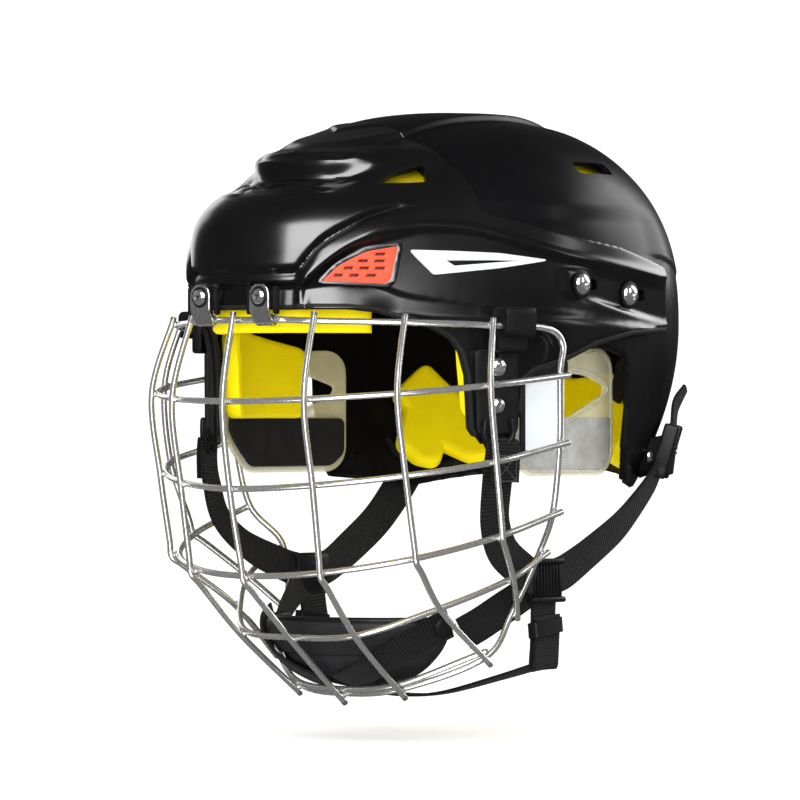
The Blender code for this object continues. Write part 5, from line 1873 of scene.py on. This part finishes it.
CUP_CENTRE = np.array((0.0, -36.0, -141.0))
CUP_RADII = (54.0, 48.0, 35.0)


def cup_points(dip, turn, out=0.0):
    """Points of the ellipsoid that the cup follows, dip below its middle, turned about Z."""
    dip, turn, out = np.broadcast_arrays(dip, turn, out)
    x = CUP_RADII[0] * np.cos(dip) * np.cos(turn)
    y = CUP_RADII[1] * np.cos(dip) * np.sin(turn)
    z = CUP_RADII[2] * np.sin(dip)
    p = np.stack([x, y, z], -1)
    normal = p / np.array(CUP_RADII) ** 2
    normal /= np.linalg.norm(normal, axis=-1, keepdims=True)
    return CUP_CENTRE + p + normal * out[..., None]


def chin_cup():
    """A quilted cup, rounded at its rim, with piping, sewn channels and a tape over each side."""
    rows, columns = 46, 90
    f = np.linspace(0, 1, rows)[:, None]
    g = np.linspace(0, 1, columns)[None, :]
    dip = np.radians(-3 - 82 * f)
    turn = np.radians(-90 - 85 + 170 * g)
    f, g = np.broadcast_arrays(f, g)
    edge = np.minimum(np.minimum(f, 1 - f) * 62, np.minimum(g, 1 - g) * 120)
    full = np.sqrt(np.clip(edge / 6.0, 0, 1))
    channels = np.zeros_like(full)
    for level in (0.36, 0.68):
        channels += np.exp(-(((f - level) * 62 / 1.3) ** 2))
    for across in (0.25, 0.5, 0.75):
        channels += np.exp(-(((g - across) * 120 / 1.3) ** 2)) * ramp(f, 0.34, 0.37)
    puff = 1.6 * full - 1.3 * np.clip(channels, 0, 1) * full
    outer = cup_points(dip, turn, puff - 1.2)
    inner = cup_points(dip, turn, -6.2 + 2.0 * (1 - full) - 0.8 * full * (1 - np.clip(channels, 0, 1)))
    mesh = face_out(shell_mesh("cup", outer, inner, angle=60))
    made = add_piece("chin_cup_padding", mesh, VINYL, "cage")
    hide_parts("chin_cup")
    rim = []
    for t in np.linspace(-174, -6, 60):
        rim.append(cup_points(np.radians(-2.4), np.radians(t), -3.2))
    for d in np.linspace(-8, -82, 16):
        rim.append(cup_points(np.radians(d), np.radians(-5.4), -3.2))
    for t in np.linspace(-10, -170, 14):
        rim.append(cup_points(np.radians(-85.2), np.radians(t), -3.2))
    for d in np.linspace(-82, -8, 16):
        rim.append(cup_points(np.radians(d), np.radians(-174.6), -3.2))
    bead = tube_mesh("piping", rim, 1.9, 10, closed=True)
    made = add_piece("chin_cup_piping", bead, MOULDED, "cage")
    for label, side in SIDES:
        angles = ((-3, -10), (-10, -22), (-22, -36), (-35, -48), (-48, -64), (-56, -78))
        stations, faces = [], []
        for dip_a, turn_a in angles:
            p = cup_points(np.radians(dip_a), np.radians(turn_a), 2.3)
            far = cup_points(np.radians(dip_a), np.radians(turn_a), 4.3)
            stations.append(tuple(p))
            faces.append(tuple(far - p))
        strap("cup_tape_" + label, side, stations, faces, 15, "cage", thickness=1.5)
        at = cup_points(np.radians(-6), np.radians(-15), 3.4)
        away = cup_points(np.radians(-6), np.radians(-15), 5.4) - at
        at, away = flip(side, [at])[0], flip(side, [away])[0]
        profile = [(0, 2.1), (2.2, 1.9), (3.6, 1.5), (4.6, 0.9), (5.0, 0.2), (5.0, -0.3), (0, -0.3)]
        mesh = turned_mesh("snap", profile, 28, frame_matrix(at, away))
        black_part("cup_snap_" + label, mesh, "cage")


THREAD = thread()

for side_name, side_sign in SIDES:
    side_straps(side_name, side_sign)
under_strap()
chin_cup()

# ---------------------------------------------------------------- studio

FLOOR_Z = -0.2
BOWL = ((0.0, 0.0), (2.2, 0.0), (3.6, 0.12), (4.8, 0.6), (5.4, 1.4), (5.6, 2.6))


def backdrop():
    """A pale floor that curves up all round."""
    rows = []
    turn = np.arange(96) * 2 * pi / 96
    for radius, height in spline(BOWL, 6):
        radius = max(radius, 0.001)
        ring = [radius * np.cos(turn), radius * np.sin(turn), np.full(96, height + FLOOR_Z)]
        rows.append(np.stack(ring, -1) / MM)
    data = mesh_from("floor", np.concatenate(rows), grid_faces(len(rows), 96, closed=True))
    made = add_piece("studio_floor", data, pale_floor(), None)
    made.visible_glossy = False


CAMERA_AZIMUTH = 40


def area_light(name, place, target, size, power, shows):
    data = bpy.data.lights.new(name, "AREA")
    data.shape = "RECTANGLE"
    data.size, data.size_y = size
    data.energy = power
    made = bpy.data.objects.new(name, data)
    bpy.context.scene.collection.objects.link(made)
    made.location = place
    toward = Vector(target) - Vector(place)
    made.rotation_euler = toward.to_track_quat("-Z", "Y").to_euler()
    made.visible_glossy = shows == "glossy"
    made.visible_diffuse = shows == "diffuse"
    return made


def around(azimuth, distance, height):
    """A place seen from the helmet at this azimuth, 0 in front of the face, 90 on its left."""
    turn = radians(azimuth)
    return (distance * sin(turn), -distance * cos(turn), height)


def studio():
    backdrop()
    middle = (0, 0, 0)
    # softboxes that only show as highlights, and one light that only fills
    softbox = area_light("softbox", around(CAMERA_AZIMUTH, 2.0, 1.0), middle, (1.9, 1.9), 190, "glossy")
    halo = area_light("softbox_halo", around(CAMERA_AZIMUTH, 2.05, 1.0), middle, (2.6, 2.5), 40, "glossy")
    area_light("left_rim", around(-114, 1.8, 0.42), middle, (0.9, 0.9), 5, "glossy")
    area_light("back_softbox", around(165, 2.0, 0.8), middle, (1.2, 1.2), 30, "glossy")
    area_light("right_rim", around(118, 1.9, 0.7), middle, (0.3, 0.9), 4, "glossy")
    # the bare wires have softboxes of their own, far dimmer than the one for black plastic
    bare = bpy.data.collections.new("wires")
    rest = bpy.data.collections.new("all_but_wires")
    for made in list(bpy.context.scene.objects):
        if made.name.startswith("wire_"):
            bare.objects.link(made)
            rest.objects.link(made)
    for member in rest.collection_objects:
        member.light_linking.link_state = "EXCLUDE"
    for light in (softbox, halo):
        light.light_linking.receiver_collection = rest
    upper = area_light("wires_upper", around(34, 2.0, 0.15), middle, (0.9, 2.0), 24, "glossy")
    lower = area_light("wires_lower", around(30, 1.6, -1.3), (0, 0, -0.1), (1.8, 1.0), 24, "glossy")
    for light in (upper, lower):
        light.light_linking.receiver_collection = bare
    area_light("fill", around(25, 1.7, 0.25), (0, 0, -0.02), (1.0, 0.7), 13, "diffuse")
    world = bpy.data.worlds.new("studio")
    world.use_nodes = True
    tree = world.node_tree
    room = tree.nodes["Background"]
    room.inputs["Color"].default_value = (1, 1, 1, 1)
    room.inputs["Strength"].default_value = 1.0
    dim = tree.nodes.new("ShaderNodeBackground")
    dim.inputs["Color"].default_value = (1, 1, 1, 1)
    dim.inputs["Strength"].default_value = 0.07
    path = tree.nodes.new("ShaderNodeLightPath")
    mix = tree.nodes.new("ShaderNodeMixShader")
    tree.links.new(path.outputs["Is Glossy Ray"], mix.inputs["Fac"])
    tree.links.new(room.outputs["Background"], mix.inputs[1])
    tree.links.new(dim.outputs["Background"], mix.inputs[2])
    tree.links.new(mix.outputs["Shader"], tree.nodes["World Output"].inputs["Surface"])
    bpy.context.scene.world = world
    bpy.context.scene.view_settings.view_transform = "Standard"
    bpy.context.scene.view_settings.look = "None"


def camera():
    data = bpy.data.cameras.new("camera")
    data.lens = 232.9
    data.sensor_width = 36
    data.clip_end = 50
    made = bpy.data.objects.new("camera", data)
    bpy.context.scene.collection.objects.link(made)
    made.location = (1.6157, -1.9408, -0.0374)
    made.rotation_euler = (radians(90), 0, radians(CAMERA_AZIMUTH))
    bpy.context.scene.camera = made


studio()
camera()
